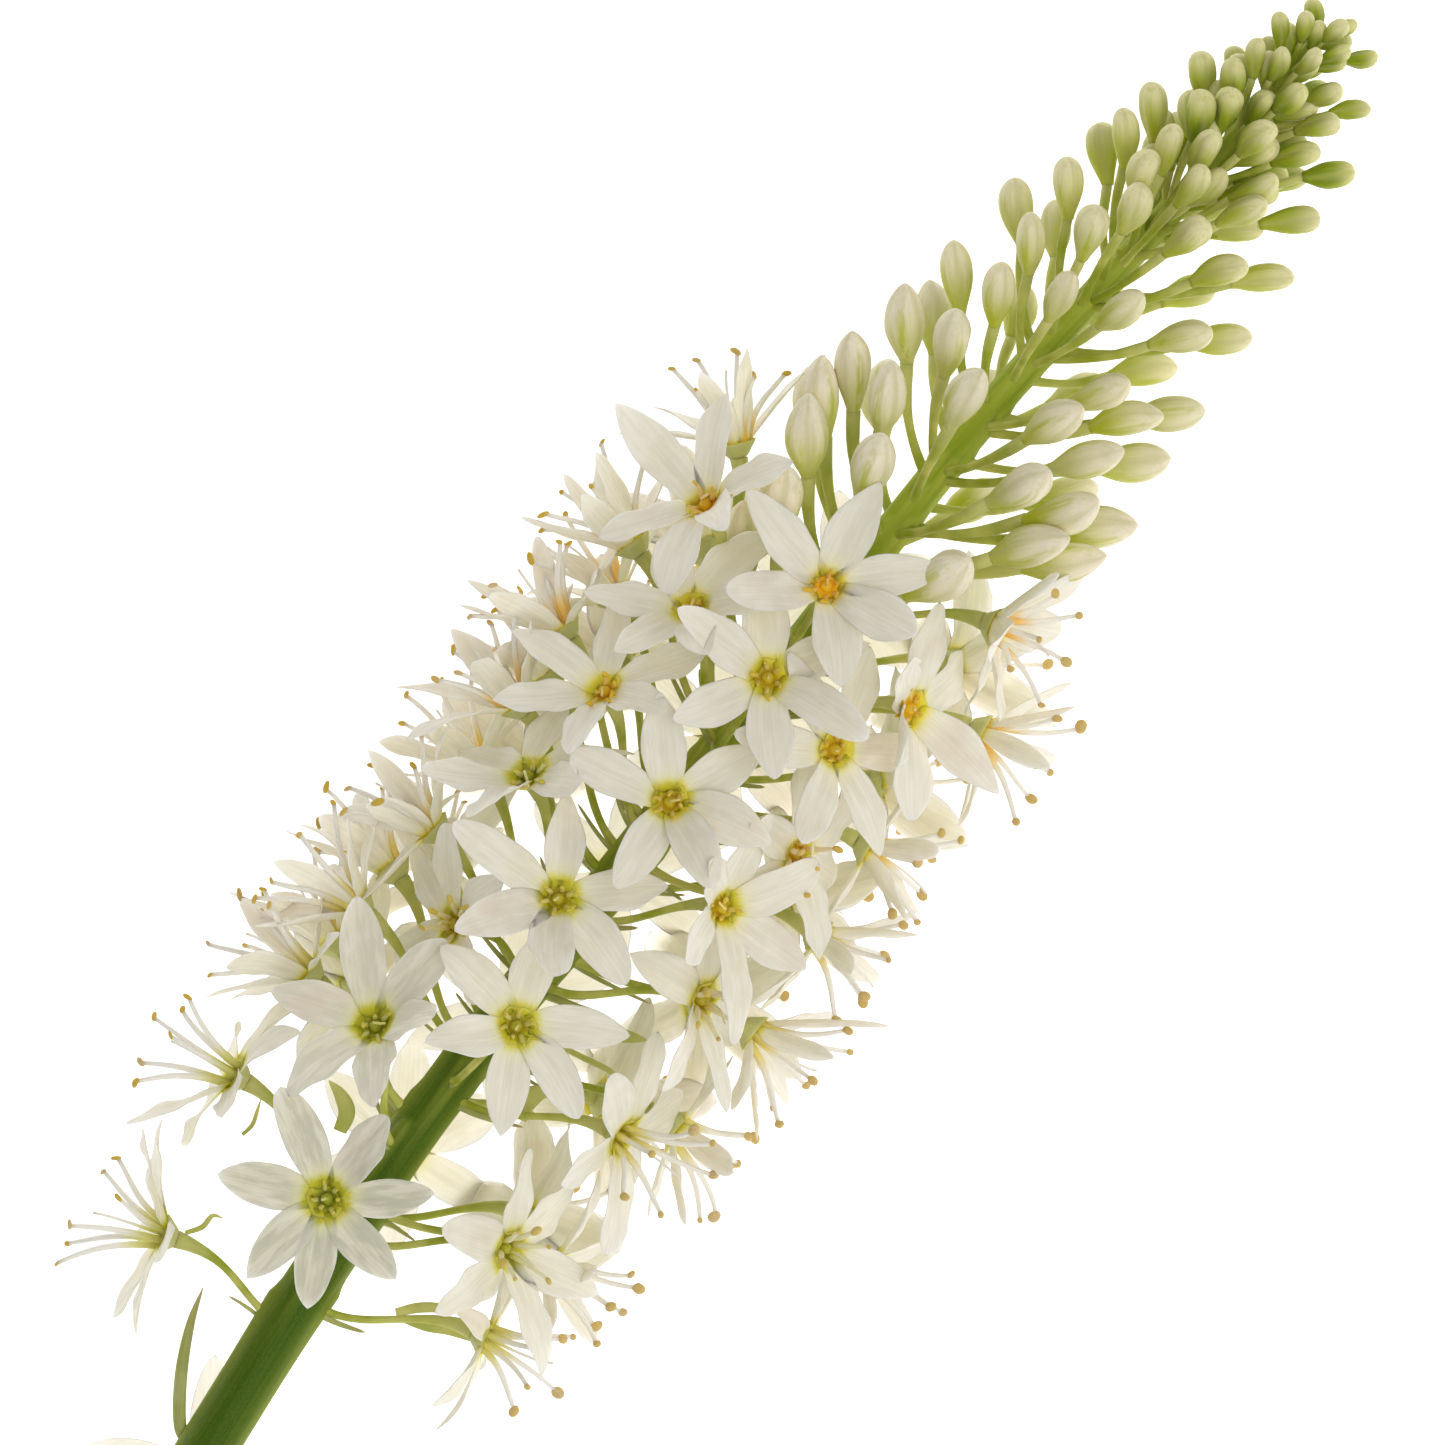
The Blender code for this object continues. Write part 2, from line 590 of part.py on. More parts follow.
def main():
    for old in list(bpy.data.objects):
        bpy.data.objects.remove(old)
    parts = bpy.data.collections.new("foxtail_lily")
    pieces = bpy.data.collections.new("pieces_to_fuse")
    pieces.hide_render = True
    for collection in (parts, pieces):
        bpy.context.scene.collection.children.link(collection)
    all_flowers = flowers()
    buds = [bud_shape(*place) for place in bud_places()]
    keep_apart(all_flowers, buds)
    for flower in all_flowers:
        fit_petals(flower)
        bloom(flower, parts, pieces)
    stem(all_flowers, buds, parts, pieces)


main()
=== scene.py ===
"""The looks of a cut foxtail lily, laid out as a Blender add-on and run as a script.

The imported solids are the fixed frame. Every flower, bud, stalk and leaf here stands where its
solid stands, and the fine surfaces made here take the solids' place. Lengths are in metres unless
a name or comment says millimetres or degrees. The stem runs along +X, and +Z is up.
"""

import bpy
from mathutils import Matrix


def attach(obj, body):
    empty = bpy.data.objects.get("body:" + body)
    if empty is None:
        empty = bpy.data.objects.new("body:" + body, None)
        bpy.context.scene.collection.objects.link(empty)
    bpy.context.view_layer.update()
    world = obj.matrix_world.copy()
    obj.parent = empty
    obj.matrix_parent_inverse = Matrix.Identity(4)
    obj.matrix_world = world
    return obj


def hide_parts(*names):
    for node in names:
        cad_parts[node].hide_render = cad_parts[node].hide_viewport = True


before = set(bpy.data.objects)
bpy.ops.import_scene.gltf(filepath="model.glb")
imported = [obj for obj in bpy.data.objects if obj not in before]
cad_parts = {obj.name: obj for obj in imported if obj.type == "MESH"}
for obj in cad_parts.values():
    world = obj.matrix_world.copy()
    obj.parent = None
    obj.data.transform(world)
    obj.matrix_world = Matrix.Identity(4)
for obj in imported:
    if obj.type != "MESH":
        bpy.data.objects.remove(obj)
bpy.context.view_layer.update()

import math
from collections import namedtuple

import bpy
import numpy as np
from bpy.props import FloatProperty, FloatVectorProperty, PointerProperty
from mathutils import Matrix

bl_info = {
    "name": "Foxtail lily spike",
    "version": (1, 0, 0),
    "blender": (4, 5, 0),
    "location": "3D View > Sidebar > Foxtail lily",
    "description": "Makes the petals, stamens, stalks, buds and leaves of a foxtail lily spike",
    "category": "Add Mesh",
}

MM = 0.001
X_AXIS = np.array((1.0, 0.0, 0.0))
Z_AXIS = np.array((0.0, 0.0, 1.0))
FULL_TURN = 2 * math.pi

# The view from above: the spike's chord runs from foot to head, both in pixels of that view
PIXEL = 0.15 * MM
FOOT = np.array((209.0, 1445.0))
HEAD = np.array((1310.0, 50.0))
AXIS_HEIGHT = 27 * MM
ORIGIN_ALONG = 122 * MM
ORIGIN_ACROSS = 5 * MM

# The camera looks straight down, turned so that the spike lies from lower left to upper right
CAMERA_MIDDLE = (132.8 * MM - ORIGIN_ALONG, 6.7 * MM - ORIGIN_ACROSS)
CAMERA_LENS = 400
CAMERA_SENSOR = 36
VIEW_WIDTH = 216.75 * MM
VIEWPOINT = np.array((*CAMERA_MIDDLE, AXIS_HEIGHT + VIEW_WIDTH * CAMERA_LENS / CAMERA_SENSOR))

# The floor and the lamps
WHITE = (1, 1, 1, 1)
FLOOR_COLOUR = (0.82, 0.82, 0.82, 1)
FLOOR_HALF = 3.0
KEY_ANGLE = math.radians(50)
KEY_PLACE = (0.05, -0.3, 0.8)
LAMP_SIZE = 0.4
LAMP_PLACES = (("left_lamp", (0.0, 0.55, 0.10)), ("right_lamp", (0.0, -0.55, 0.10)))

# The stem in millimetres: how far it bows from its chord, and its radius, at stations along it
STEM_BOW = (
    (-27, -3.0), (0, 0), (26, 2.8), (62, 5.2), (115, 4.6), (168, 4.6), (197, 4.2), (226, 2.1),
    (250, 0.4), (268, 0),
)
STEM_RADIUS = (
    (-27, 4.6), (0, 4.4), (60, 3.5), (120, 2.9), (170, 2.6), (200, 2.2), (245, 1.5), (268, 0.8),
)

# Its cut foot: the slant, how far up that reaches, and the rings of the cut face, each as a share
# of the radius and its height in millimetres. Then its ribs, the stations over which it pales, and
# the size of a bud's ridge beside a flower's
STEM_CUT_SLANT = math.radians(20)
STEM_CUT_LENGTH = 8 * MM
STEM_CUT_RINGS = ((0, 0.12), (0.35, 0.1), (0.7, 0.05), (0.93, 0.0), (0.995, -0.12))
STEM_RIBS = 10
STEM_RIB_HEIGHT = 0.012
STEM_GREENS = (45 * MM, 190 * MM)
BUD_RIDGE = 0.7
STEM_ROWS = 210
STEM_SIDES = 48

# The open flowers, placed as the solids are: those that the view shows, then rows at the sides,
# each as its side, its turn in degrees, its reach and its stations, and the row pressed flat
SEED = 11
PETALS = 6
PETAL_LENGTH = 16.3 * MM
PETAL_WANDER = 4
NOTCH_RADIUS = 5.0 * MM
BACK_DEPTH = 2.5 * MM
GAP = 0.3 * MM
FLOWER_REACH = 27 * MM
FLOWER_LEAN = 14
REACH_BEYOND = 1.02
SHORTEST_REACH = 0.7
STALK_LEAN = math.radians(18)
STALK_SWEEP = 0.8
STALK_RISE = 0.4
STALK_STRAIGHT = 10 * MM
HIDDEN_TURN_WANDER = 4
HIDDEN_ROWS = (
    (1, 128, 27, (68, 89, 110, 131, 152)), (-1, 128, 27, (56, 77, 98, 119, 140, 161)),
    (1, 103, 28, (71, 85, 105, 122, 138)),
)
HIDDEN_GOLD = (0, 152)
HALF_HIDDEN_TURN = 115
HIDDEN_WIDTH = 1.26
HIDDEN_LENGTH = 1.12
PRESSED_ALONG = (-5, 52, 79, 105, 131, 158)
PRESSED_PETAL = 30
LOWEST_PETALS = (75, 176, 218, 260, 302, 344)
PRESSED_GOLD = 0.4
PRESSED_SINKS = (0.22 * MM, 0.64 * MM)

# Flower stalks: their radius at shares of their length, and their pattern's length, both in
# millimetres
STALK_RADIUS = ((0, 1.2), (0.14, 0.72), (0.4, 0.6), (0.75, 0.7), (0.92, 1.1), (1, 1.4))
STALK_ROWS = 22
STALK_SIDES = 12
STALK_GRAIN = 25

# Each open flower seen from above: its heart in pixels, the way one petal points in the view or
# the ways they all do, how far its heart has turned from green to gold, how far it leans towards
# the tip, and how far it is turned round the stem where its place alone does not say so
Seen = namedtuple("Seen", "x y petals gold lean turn", defaults=(FLOWER_LEAN, None))
SEEN = (
    Seen(330, 1193, (48, 105, 168, 222, 262, 306, 357), 0.0, 0),
    Seen(160, 1232, 85, 0.1, -18, 80), Seen(232, 1072, 70, 0.1, -8, 76),
    Seen(377, 1020, 45, 0.05),
    Seen(520, 1022, (0, 75, 127, 198, 257, 310), 0.2),
    Seen(560, 895, (9, 83, 153, 209, 260, 315), 0.25),
    Seen(455, 925, 60, 0.4, -20, 52),
    Seen(671, 800, (30, 100, 160, 240, 295, 343), 0.45),
    Seen(527, 772, 90, 0.1), Seen(603, 688, 90, 0.75), Seen(690, 608, 0, 0.6),
    Seen(703, 503, 80, 0.95, 14, 50),
    Seen(826, 586, (8, 68, 140, 195, 280, 325), 1.0),
    Seen(768, 677, 30, 0.45), Seen(837, 750, 55, 0.6),
    Seen(913, 710, 15, 0.8), Seen(998, 628, 100, 0.95, 14, -64), Seen(800, 855, 85, 0.7, 10, -54),
    Seen(725, 907, 75, 0.5), Seen(706, 1000, 80, 0.4), Seen(626, 1137, 60, 0.3, 8, -62),
    Seen(512, 1247, 84, 0.15),
    Seen(490, 1338, 70, 0.2, 12, -82), Seen(560, 625, 60, 0.9, 14, 84),
    Seen(515, 700, 75, 0.8, 10, 80),
    Seen(430, 825, 60, 0.6, 4, 80), Seen(355, 903, 75, 0.4, 0, 80), Seen(305, 970, 60, 0.3, 0, 82),
    Seen(630, 540, 70, 0.95, 14, 86), Seen(735, 440, 60, 0.9, 40, 80),
    Seen(985, 735, 80, 0.8, 10, -86),
    Seen(872, 850, 60, 0.7, 6, -86), Seen(822, 940, 80, 0.5, 0, -88),
    Seen(757, 1035, 60, 0.4, 0, -86),
    Seen(680, 1130, 80, 0.3, 0, -88), Seen(552, 1268, 60, 0.2, 4, -88),
)

# A petal in shares of its length or width: where it is widest, how wide it starts, how blunt its
# tip is, and how it bends, twists, bows and cups; angles are in degrees. A pair is a range that
# chance draws from
PETAL_ROOT = 1.5 * MM
PETAL_SINK = 1.25 * MM
PETAL_STEEP = math.radians(56)
PETAL_THROAT = 0.08
PETAL_START_WIDTH = 0.46
PETAL_WIDEST = (0.42, 0.60)
PETAL_FULLNESS = (1.5, 2.2)
PETAL_BLUNTNESS = (0.52, 0.9)
PETAL_BEND = (-38, 16)
PETAL_TWIST = 28
PETAL_SIDEWAYS = 0.13
PETAL_CUP = (0.14, 0.42)
PETAL_WAVES = (1.2, 2.6)
PETAL_INNER_RISE = 0.35 * MM
SHORTEST_SHOWN = 1.03
HERO_WIDTH = 1.02
FLOWER_WIDTHS = (0.98, 1.16)
PETAL_WIDTHS = (0.88, 1.08)
SEEN_PETAL_GRID = (18, 18)
HIDDEN_PETAL_GRID = (11, 12)
CLEAR_OF_SURFACE = 1.4 * MM

# Petals crowd at the sides of the view: the turns in degrees and the stations over which they come
# to, how far they are lifted there in degrees, and how much narrower and more folded they are
SIDE_TURNS = (64, 80)
SIDE_STATIONS = (52 * MM, 66 * MM)
SIDE_LIFT = (2, 44)
RIGHT_SIDE_LIFT = 0.3
LEFT_SIDE_NARROWING = 0.36
RIGHT_SIDE_NARROWING = 0.46
RIGHT_SIDE_FOLD = 0.8

# Stamens: where they stand, and how their length and spread change from a flower that faces the
# viewpoint, whose stamens are still folded in its heart, to one seen from the side. Lengths,
# spreads and the shortest are given for both, turns are where the change begins and ends, and
# the other pairs are ranges that chance draws from. Angles are in degrees, and the stamens' own
# wander round the heart is in radians
STAMEN_ROOT = 1.6 * MM
STAMEN_SINK = 1.3 * MM
STAMEN_LENGTHS = (3.0 * MM, 13.5 * MM)
STAMEN_SPREADS = (12, 33)
FACING_TURNS = (44, 64)
STAMEN_SPREAD_CHANCE = (0.45, 1.25)
STAMEN_WANDER = 15
STAMEN_TURN_WANDER = 0.22
SHORTEST_STAMENS = (0.62, 0.78)
LONGEST_STAMEN = 1.1
LEFT_STAMEN_GROWTH = 0.14
STAMEN_CURL = 0.1
SIDE_THREAD_GROWTH = 0.3
THREAD_TAPER = 0.45
ANTHER_LENGTH_CHANCE = (0.6, 1.15)
ANTHER_WIDTHS = (0.38, 0.58)
ANTHER_WAY_CHANCE = (0.2, 1.2)
FRONT_ANTHER_WAY = 1.1
SIDE_ANTHER_LENGTH = 0.15
RIGHT_ANTHER_WIDTH = 0.34
RIGHT_ANTHER_TURNS = (0, 60)
FILAMENT_ROWS = 9
FILAMENT_SIDES = 6
ANTHER_GRID = (7, 8)
OVARY_GRID = (10, 18)
OVARY_FORM = (2.5, 2)
OVARY_LOBES = 0.07
OVARY_DEPTH = 1.1 * MM
STYLE_DEPTH = 0.4 * MM
STYLE_RADIUS = 0.62
STYLE_LENGTH = 0.8

# The cup that carries the petals, as radius and height in millimetres from the back to the middle,
# and the rows of it over which its outside turns into its inside
CUP_PROFILE = (
    (0.0, -2.75), (1.3, -2.7), (1.75, -2.2), (2.15, -1.6), (2.7, -0.9), (3.0, -0.35), (2.8, -0.3),
    (2.2, -0.7), (1.2, -1.1), (0.0, -1.25),
)
CUP_SIDES = 24
CUP_LOBES = 0.06
CUP_INSIDE = (4.5, 6.5)
PRESSED_CUP = 0.2 * MM

# The buds: their middles in pixels, with the reach of one that is not at the usual one, and their
# sizes and their stalks' in millimetres at stations along the stem
BUD_REACH = (
    (150, 25), (176, 24.5), (192, 23.5), (207, 18), (235, 16.5), (245, 14), (253, 11), (262, 8.5),
    (270, 5),
)
BUD_LENGTH = ((150, 14.5), (193, 13.4), (210, 11.5), (235, 9), (253, 6.8), (268, 4.6))
BUD_WIDTH = 0.54
BUD_SLANT = math.radians(46)
BUD_STALK_SLOPE = ((150, 0.5), (200, 0.7), (235, 1.0), (268, 1.2))
BUD_STALK_RADIUS = ((150, 0.82), (268, 0.6))
BUD_STALK_SAG = 0.05
BUD_STALK_END = 0.2944
BUD_STALK_GRID = (12, 10)
BUD_STALK_GRAIN = 14
BUDS = (
    (808, 437), (823, 400), (852, 375), (885, 400), (870, 470), (783, 508), (745, 545, 19),
    (905, 325), (948, 346), (956, 279), (997, 297), (964, 402), (1018, 212), (1028, 246),
    (1058, 300), (1066, 190), (1087, 236), (1129, 212), (1141, 180), (1187, 190), (1182, 241),
    (1118, 313),
    (1122, 140), (1151, 113), (1166, 153), (1201, 78), (1229, 83), (1196, 118), (1223, 114),
    (1201, 156), (1254, 143), (1239, 216), (1251, 191), (1290, 221), (1217, 276), (1262, 280),
    (1179, 340), (1219, 340), (1096, 396), (1051, 426), (1125, 423), (1168, 414), (1085, 461),
    (1130, 462), (1015, 490), (1058, 512), (1093, 530), (1028, 549), (1061, 562), (936, 579),
    (1254, 60), (1278, 31), (1303, 28), (1275, 66), (1306, 63), (1334, 33), (1334, 56),
    (1360, 58), (1287, 101), (1322, 96), (1350, 111), (1316, 128), (1294, 158), (1329, 174),
)
HIDDEN_BUDS = 20
HIDDEN_BUDS_ALONG = (178, 262)
HIDDEN_BUDS_TURN = (105, 255)
HIDDEN_BUDS_REACH = 0.86
GOLDEN_SHARE = 0.618

# Small buds close to the stem near its tip, between the others
INNER_BUDS = 34
INNER_BUDS_ALONG = (236, 272)
INNER_BUDS_REACH = 0.55

# The form of the buds, how buds near the tip grow longer and wider, over which stations, and the
# stations over which buds turn from ripe to young, in millimetres
BUD_GRID = (18, 24)
BUD_SLIMNESS = (0.74, 0.94)
BUD_WIDEST = (0.48, 0.66)
BUD_BEND = 0.05
TIP_BUD_GROWTH = 0.2
TIP_GROWTH_ALONG = (220 * MM, 250 * MM)
TIP_BUD_WIDENING = 0.08
TIP_WIDENING_ALONG = (235 * MM, 260 * MM)
BUD_GROUPS = (("buds_lower", 0, 192), ("buds_middle", 192, 232), ("buds_top", 232, 300))
BUD_RIPE = (178, 256)

# Bracts and leaves: how far a bract runs along its stalk and aside of it, and how flat both are
BRACT_GRID = (16, 8)
BRACT_REACH = (0.3, 0.55)
BRACT_ASIDE = 0.7
BRACT_WIDTHS = (0.8, 1.3)
BRACT_FLATNESS = 0.3
BRACT_GRAIN = 15
LEAF_GRID = (40, 16)
LEAF_FLATNESS = 0.35
LEAF_GRAIN = 24

# The narrow leaf low on the stem, in pixels
LOW_LEAF = ((190, 1446), (180, 1425), (181, 1375), (190, 1325), (203, 1287))
LOW_LEAF_HALF_WIDTH = 1.05

# Small curled bracts and swollen stalk ends, each as its places in pixels, half its width, and its
# height above the stem's middle in millimetres, and how near they all are to a stalk's pale end
SMALL_LEAF_PALENESS = 0.82
SMALL_LEAVES = (
    (((340, 1131), (347, 1112), (341, 1095), (329, 1080)), 1.35, 2),
    (((186, 1232), (203, 1226), (213, 1215), (224, 1217)), 0.45, 4),
    (((243, 1134), (253, 1124), (258, 1110), (262, 1097)), 0.35, 4),
    (((396, 1312), (420, 1307), (447, 1308), (476, 1314)), 0.85, 2),
    (((400, 1317), (425, 1326), (448, 1331), (472, 1341)), 0.75, 1),
    (((548, 1040), (585, 1058), (612, 1072), (625, 1090)), 0.5, 3),
    (((570, 1025), (600, 1030), (628, 1036), (648, 1040)), 1.25, 4),
    (((517, 1118), (524, 1102), (536, 1094), (552, 1090)), 1.9, 2),
)


# Sizes of the fine forms: what each is called and measures, its start and its least
SIZES = (
    ("petal_width", "Across one petal at its widest", 6.4 * MM, 1 * MM),
    ("petal_thickness", "Through one petal at its middle", 0.34 * MM, 0.1 * MM),
    ("petal_wave", "How far a petal's edge waves up and down", 0.42 * MM, 0),
    ("filament_radius", "Radius of a stamen's thread at its foot", 0.46 * MM, 0.05 * MM),
    ("anther_length", "Length of an anther that has shed its pollen", 1.75 * MM, 0.5 * MM),
    ("ovary_radius", "Radius of the green ovary in the flower's heart", 0.95 * MM, 0.3 * MM),
    ("stalk_ridge", "Height of the ridge that runs down the stem from a stalk", 0.75 * MM, 0),
    ("bract_width", "Half the width of the bract beside a flower stalk", 0.42 * MM, 0.1 * MM),
)

# Colours of the finishes, in linear red, green and blue
COLOURS = (
    ("petal_white", "The lit face of a petal", (1.0, 0.93, 0.79)),
    ("petal_shade", "The thin, shaded parts of a petal", (0.94, 0.85, 0.68)),
    # petal_painted_shade is painted shade: it greys streaks on every petal, and the oldest flowers'
    # whole petals.
    ("petal_painted_shade", "The greyer petals of an older flower", (0.62, 0.61, 0.49)),
    ("petal_vein", "The veins and the middle rib", (0.56, 0.55, 0.43)),
    ("petal_blush", "The faint blush of older petals", (0.80, 0.68, 0.60)),
    ("flush_green", "A petal near the heart of an older flower", (0.86, 0.84, 0.50)),
    ("flush_gold", "A petal near the heart of a fresh flower", (0.98, 0.90, 0.56)),
    ("heart_green", "The heart of an older flower", (0.64, 0.60, 0.03)),
    ("heart_gold", "The heart of a fresh flower", (1.0, 0.82, 0.05)),
    ("heart_deep", "The bottom of the heart", (0.23, 0.24, 0.008)),
    ("heart_amber", "The bottom of a fresh flower's heart", (0.90, 0.52, 0.012)),
    ("cup_pale", "Pale patches outside the cup", (0.60, 0.62, 0.33)),
    ("filament_white", "The stamens' threads", (0.96, 0.92, 0.84)),
    ("filament_green", "The foot of an older flower's threads", (0.74, 0.76, 0.14)),
    ("filament_gold", "The foot of a fresh flower's threads", (1.0, 0.58, 0.03)),
    ("anther_ochre", "Anthers that have shed", (0.77, 0.53, 0.05)),
    ("anther_tan", "Dry anthers", (0.82, 0.64, 0.36)),
    ("anther_orange", "Fresh anthers", (1.0, 0.66, 0.02)),
    ("anther_lemon", "Anthers still closed", (0.84, 0.76, 0.10)),
    ("anther_grain", "Grains on the anthers", (0.40, 0.23, 0.02)),
    ("anther_dust", "Pale patches of pollen", (0.75, 0.55, 0.22)),
    ("ovary_green", "The ovary of an older flower", (0.42, 0.46, 0.04)),
    ("ovary_gold", "The ovary of a fresh flower", (0.95, 0.60, 0.03)),
    ("stem_low", "The stem at its foot", (0.036, 0.100, 0.0008)),
    ("stem_high", "The stem towards its tip", (0.29, 0.38, 0.013)),
    # stem_pale is also the painted rim light along the stem's sides as seen from above.
    ("stem_pale", "The ribs of the stem and its cut", (0.56, 0.60, 0.10)),
    ("pith_pale", "The cut stem", (0.62, 0.66, 0.36)),
    ("pith_green", "Grains in the cut stem", (0.40, 0.46, 0.16)),
    ("stalk_green", "Flower and bud stalks", (0.62, 0.61, 0.17)),
    ("stalk_deep", "Deeper green on the stalks", (0.33, 0.39, 0.025)),
    ("stalk_pale", "A stalk close under its flower", (0.66, 0.64, 0.27)),
    ("bud_cream", "Buds that are ready to open", (1.0, 0.90, 0.70)),
    ("bud_green", "Young buds and bud ribs", (0.50, 0.54, 0.03)),
    ("bud_shade", "Shaded parts of a ripe bud", (0.95, 0.86, 0.68)),
    # bud_painted_shade is painted shade, laid in broad streaks over the ripe buds.
    ("bud_painted_shade", "Thin streaks of a ripe bud", (0.66, 0.60, 0.38)),
    ("bud_tender", "Between the veins of a young bud", (0.56, 0.57, 0.07)),
    ("bud_end", "The end of a young bud", (0.96, 0.88, 0.50)),
    ("bud_newest", "The foot of the newest buds", (0.20, 0.29, 0.006)),
    ("bud_seam", "Along a bud's seams", (0.58, 0.54, 0.24)),
    ("leaf_olive", "Bracts and the low leaf", (0.33, 0.36, 0.11)),
    ("leaf_dry", "Their dry tips", (0.42, 0.30, 0.15)),
    ("leaf_light", "Lighter patches of the leaves", (0.46, 0.48, 0.20)),
)

# The floor and the light: what each strength is called and does, and its start
STRENGTHS = (
    ("floor_glow", "How much the pale floor shines by itself", 0.9),
    ("sky", "Strength of the even white light from all sides", 0.34),
    ("key_strength", "Strength of the broad light from above, a little to the right", 1.3),
    ("side_power", "Power of each low lamp beside the spike, in watts", 0.13),
)


def changeable(kind, rows, **limits):
    """Properties that the user can change: each row is a key, what it is, its start and, for some,
    its least."""
    made = {}
    for key, about, start, *least in rows:
        name = key.replace("_", " ").capitalize()
        bottom = least[0] if least else 0
        made[key] = kind(name=name, description=about, default=start, min=bottom, **limits)
    return made


class LilySizes(bpy.types.PropertyGroup):
    """Sizes of the fine forms"""

    __annotations__ = changeable(FloatProperty, SIZES, precision=5, unit="LENGTH")


class LilyColours(bpy.types.PropertyGroup):
    """Colours of the finishes"""

    __annotations__ = changeable(FloatVectorProperty, COLOURS, max=1, size=3, subtype="COLOR")


class LilyStage(bpy.types.PropertyGroup):
    """Floor and light"""

    __annotations__ = changeable(FloatProperty, STRENGTHS, max=5)


def unit(vectors):
    """The vectors at length one, along the last axis."""
    return vectors / np.linalg.norm(vectors, axis=-1, keepdims=True)


def eased(value, low, high):
    """0 below low, 1 above high, and the curve 3s^2 - 2s^3 of the share s between them."""
    share = np.clip((np.asarray(value, float) - low) / (high - low), 0, 1)
    return share * share * (3 - 2 * share)


def through(points, at):
    """The smooth curve through the points: between each two a cubic with their slopes."""
    x, y = np.array(points, float).T
    slope = np.gradient(y, x)
    i = np.clip(np.searchsorted(x, at) - 1, 0, len(x) - 2)
    width = x[i + 1] - x[i]
    t = np.clip((np.asarray(at, float) - x[i]) / width, 0, 1)
    start = y[i] * (1 + 2 * t) * (1 - t) ** 2 + slope[i] * width * t * (1 - t) ** 2
    end = y[i + 1] * t * t * (3 - 2 * t) + slope[i + 1] * width * t * t * (t - 1)
    return start + end


def axis_points(along):
    """The middle of the stem at stations along the chord, in metres."""
    along = np.asarray(along, float)
    across = through(STEM_BOW, along / MM) * MM
    return np.stack(
        (along - ORIGIN_ALONG, across - ORIGIN_ACROSS, np.full(along.shape, AXIS_HEIGHT)), axis=-1
    )


def seen_at(x, y):
    """Where a pixel of the view lies: its station along the chord, and how far off the stem."""
    chord = unit(HEAD - FOOT)
    offset = np.array((x, y)) - FOOT
    along = offset @ chord * PIXEL
    across = offset @ np.array((chord[1], -chord[0])) * PIXEL
    return along, float(across - through(STEM_BOW, along / MM) * MM)


def outward(turn):
    """The way out of the stem at an angle round it, with 0 straight up."""
    turn = np.asarray(turn, float)
    return np.stack((np.zeros(turn.shape), np.sin(turn), np.cos(turn)), axis=-1)


def bezier(points, times):
    """Points along the Bezier curve of four control points: their sum weighted by (1-t)^3,
    3t(1-t)^2, 3t^2(1-t) and t^3."""
    t = np.asarray(times, float)[:, None]
    a, b, c, d = points
    return a * (1 - t) ** 3 + 3 * b * t * (1 - t) ** 2 + 3 * c * t * t * (1 - t) + d * t**3


class Flower:
    """One open flower's place: its heart, the way it faces, its petals' angles and its stalk."""

    def __init__(self, number, along, turn, reach, lean, angles, gold, seen, pressed=False):
        self.name = f"bloom_{number:02d}"
        self.chance = np.random.default_rng(100 + number)
        self.seen = seen
        self.pressed = pressed
        self.gold = gold
        self.turn = turn
        self.station = along
        self.heart = axis_points(along) + reach * outward(turn)
        lean = math.radians(lean)
        self.face = math.cos(lean) * outward(turn) + math.sin(lean) * X_AXIS
        self.along = unit(X_AXIS - (X_AXIS @ self.face) * self.face)
        self.across = np.cross(self.face, self.along)
        self.angles = np.array(angles)
        back = self.heart - (BACK_DEPTH + GAP) * self.face
        self.root_along = along - STALK_SWEEP * reach * math.tan(lean + STALK_LEAN)
        root = axis_points(self.root_along)
        leave = root + STALK_RISE * reach * outward(turn)
        self.stalk = (root, leave, back - STALK_STRAIGHT * self.face, back)
        self.lengths, self.lifts = self.measured_petals()

    def drawn(self, low, high):
        """A number by chance for each petal."""
        return self.chance.uniform(low, high, (len(self.angles), 1))

    def round(self, angles):
        """The ways from the heart at angles round it."""
        angles = np.asarray(angles)[..., None]
        return np.cos(angles) * self.along + np.sin(angles) * self.across

    def measured_petals(self):
        """Each petal's length and lift, from its tip on the flower's solid: the furthest corner
        from the heart within two degrees of the petal's angle, on the side that faces out."""
        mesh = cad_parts[self.name].data
        corners = np.empty(len(mesh.vertices) * 3)
        mesh.vertices.foreach_get("co", corners)
        offset = corners.reshape(-1, 3) - self.heart
        x, y, rise = offset @ self.along, offset @ self.across, offset @ self.face
        radius = np.hypot(x, y)
        off = np.angle(np.exp(1j * (np.arctan2(y, x)[None, :] - self.angles[:, None])))
        found = (np.abs(off) < math.radians(2)) & (radius > NOTCH_RADIUS + MM)
        tip = np.argmax(np.where(found, radius + 0.01 * rise, -1), axis=1)
        return radius[tip], np.arctan2(rise[tip], radius[tip])


def petal_angles(first, draw):
    """Six petals round the heart from the first one's angle, each a little off its even place."""
    even = 360 * np.arange(PETALS) / PETALS
    return np.radians(first + even + draw.uniform(-PETAL_WANDER, PETAL_WANDER, PETALS))


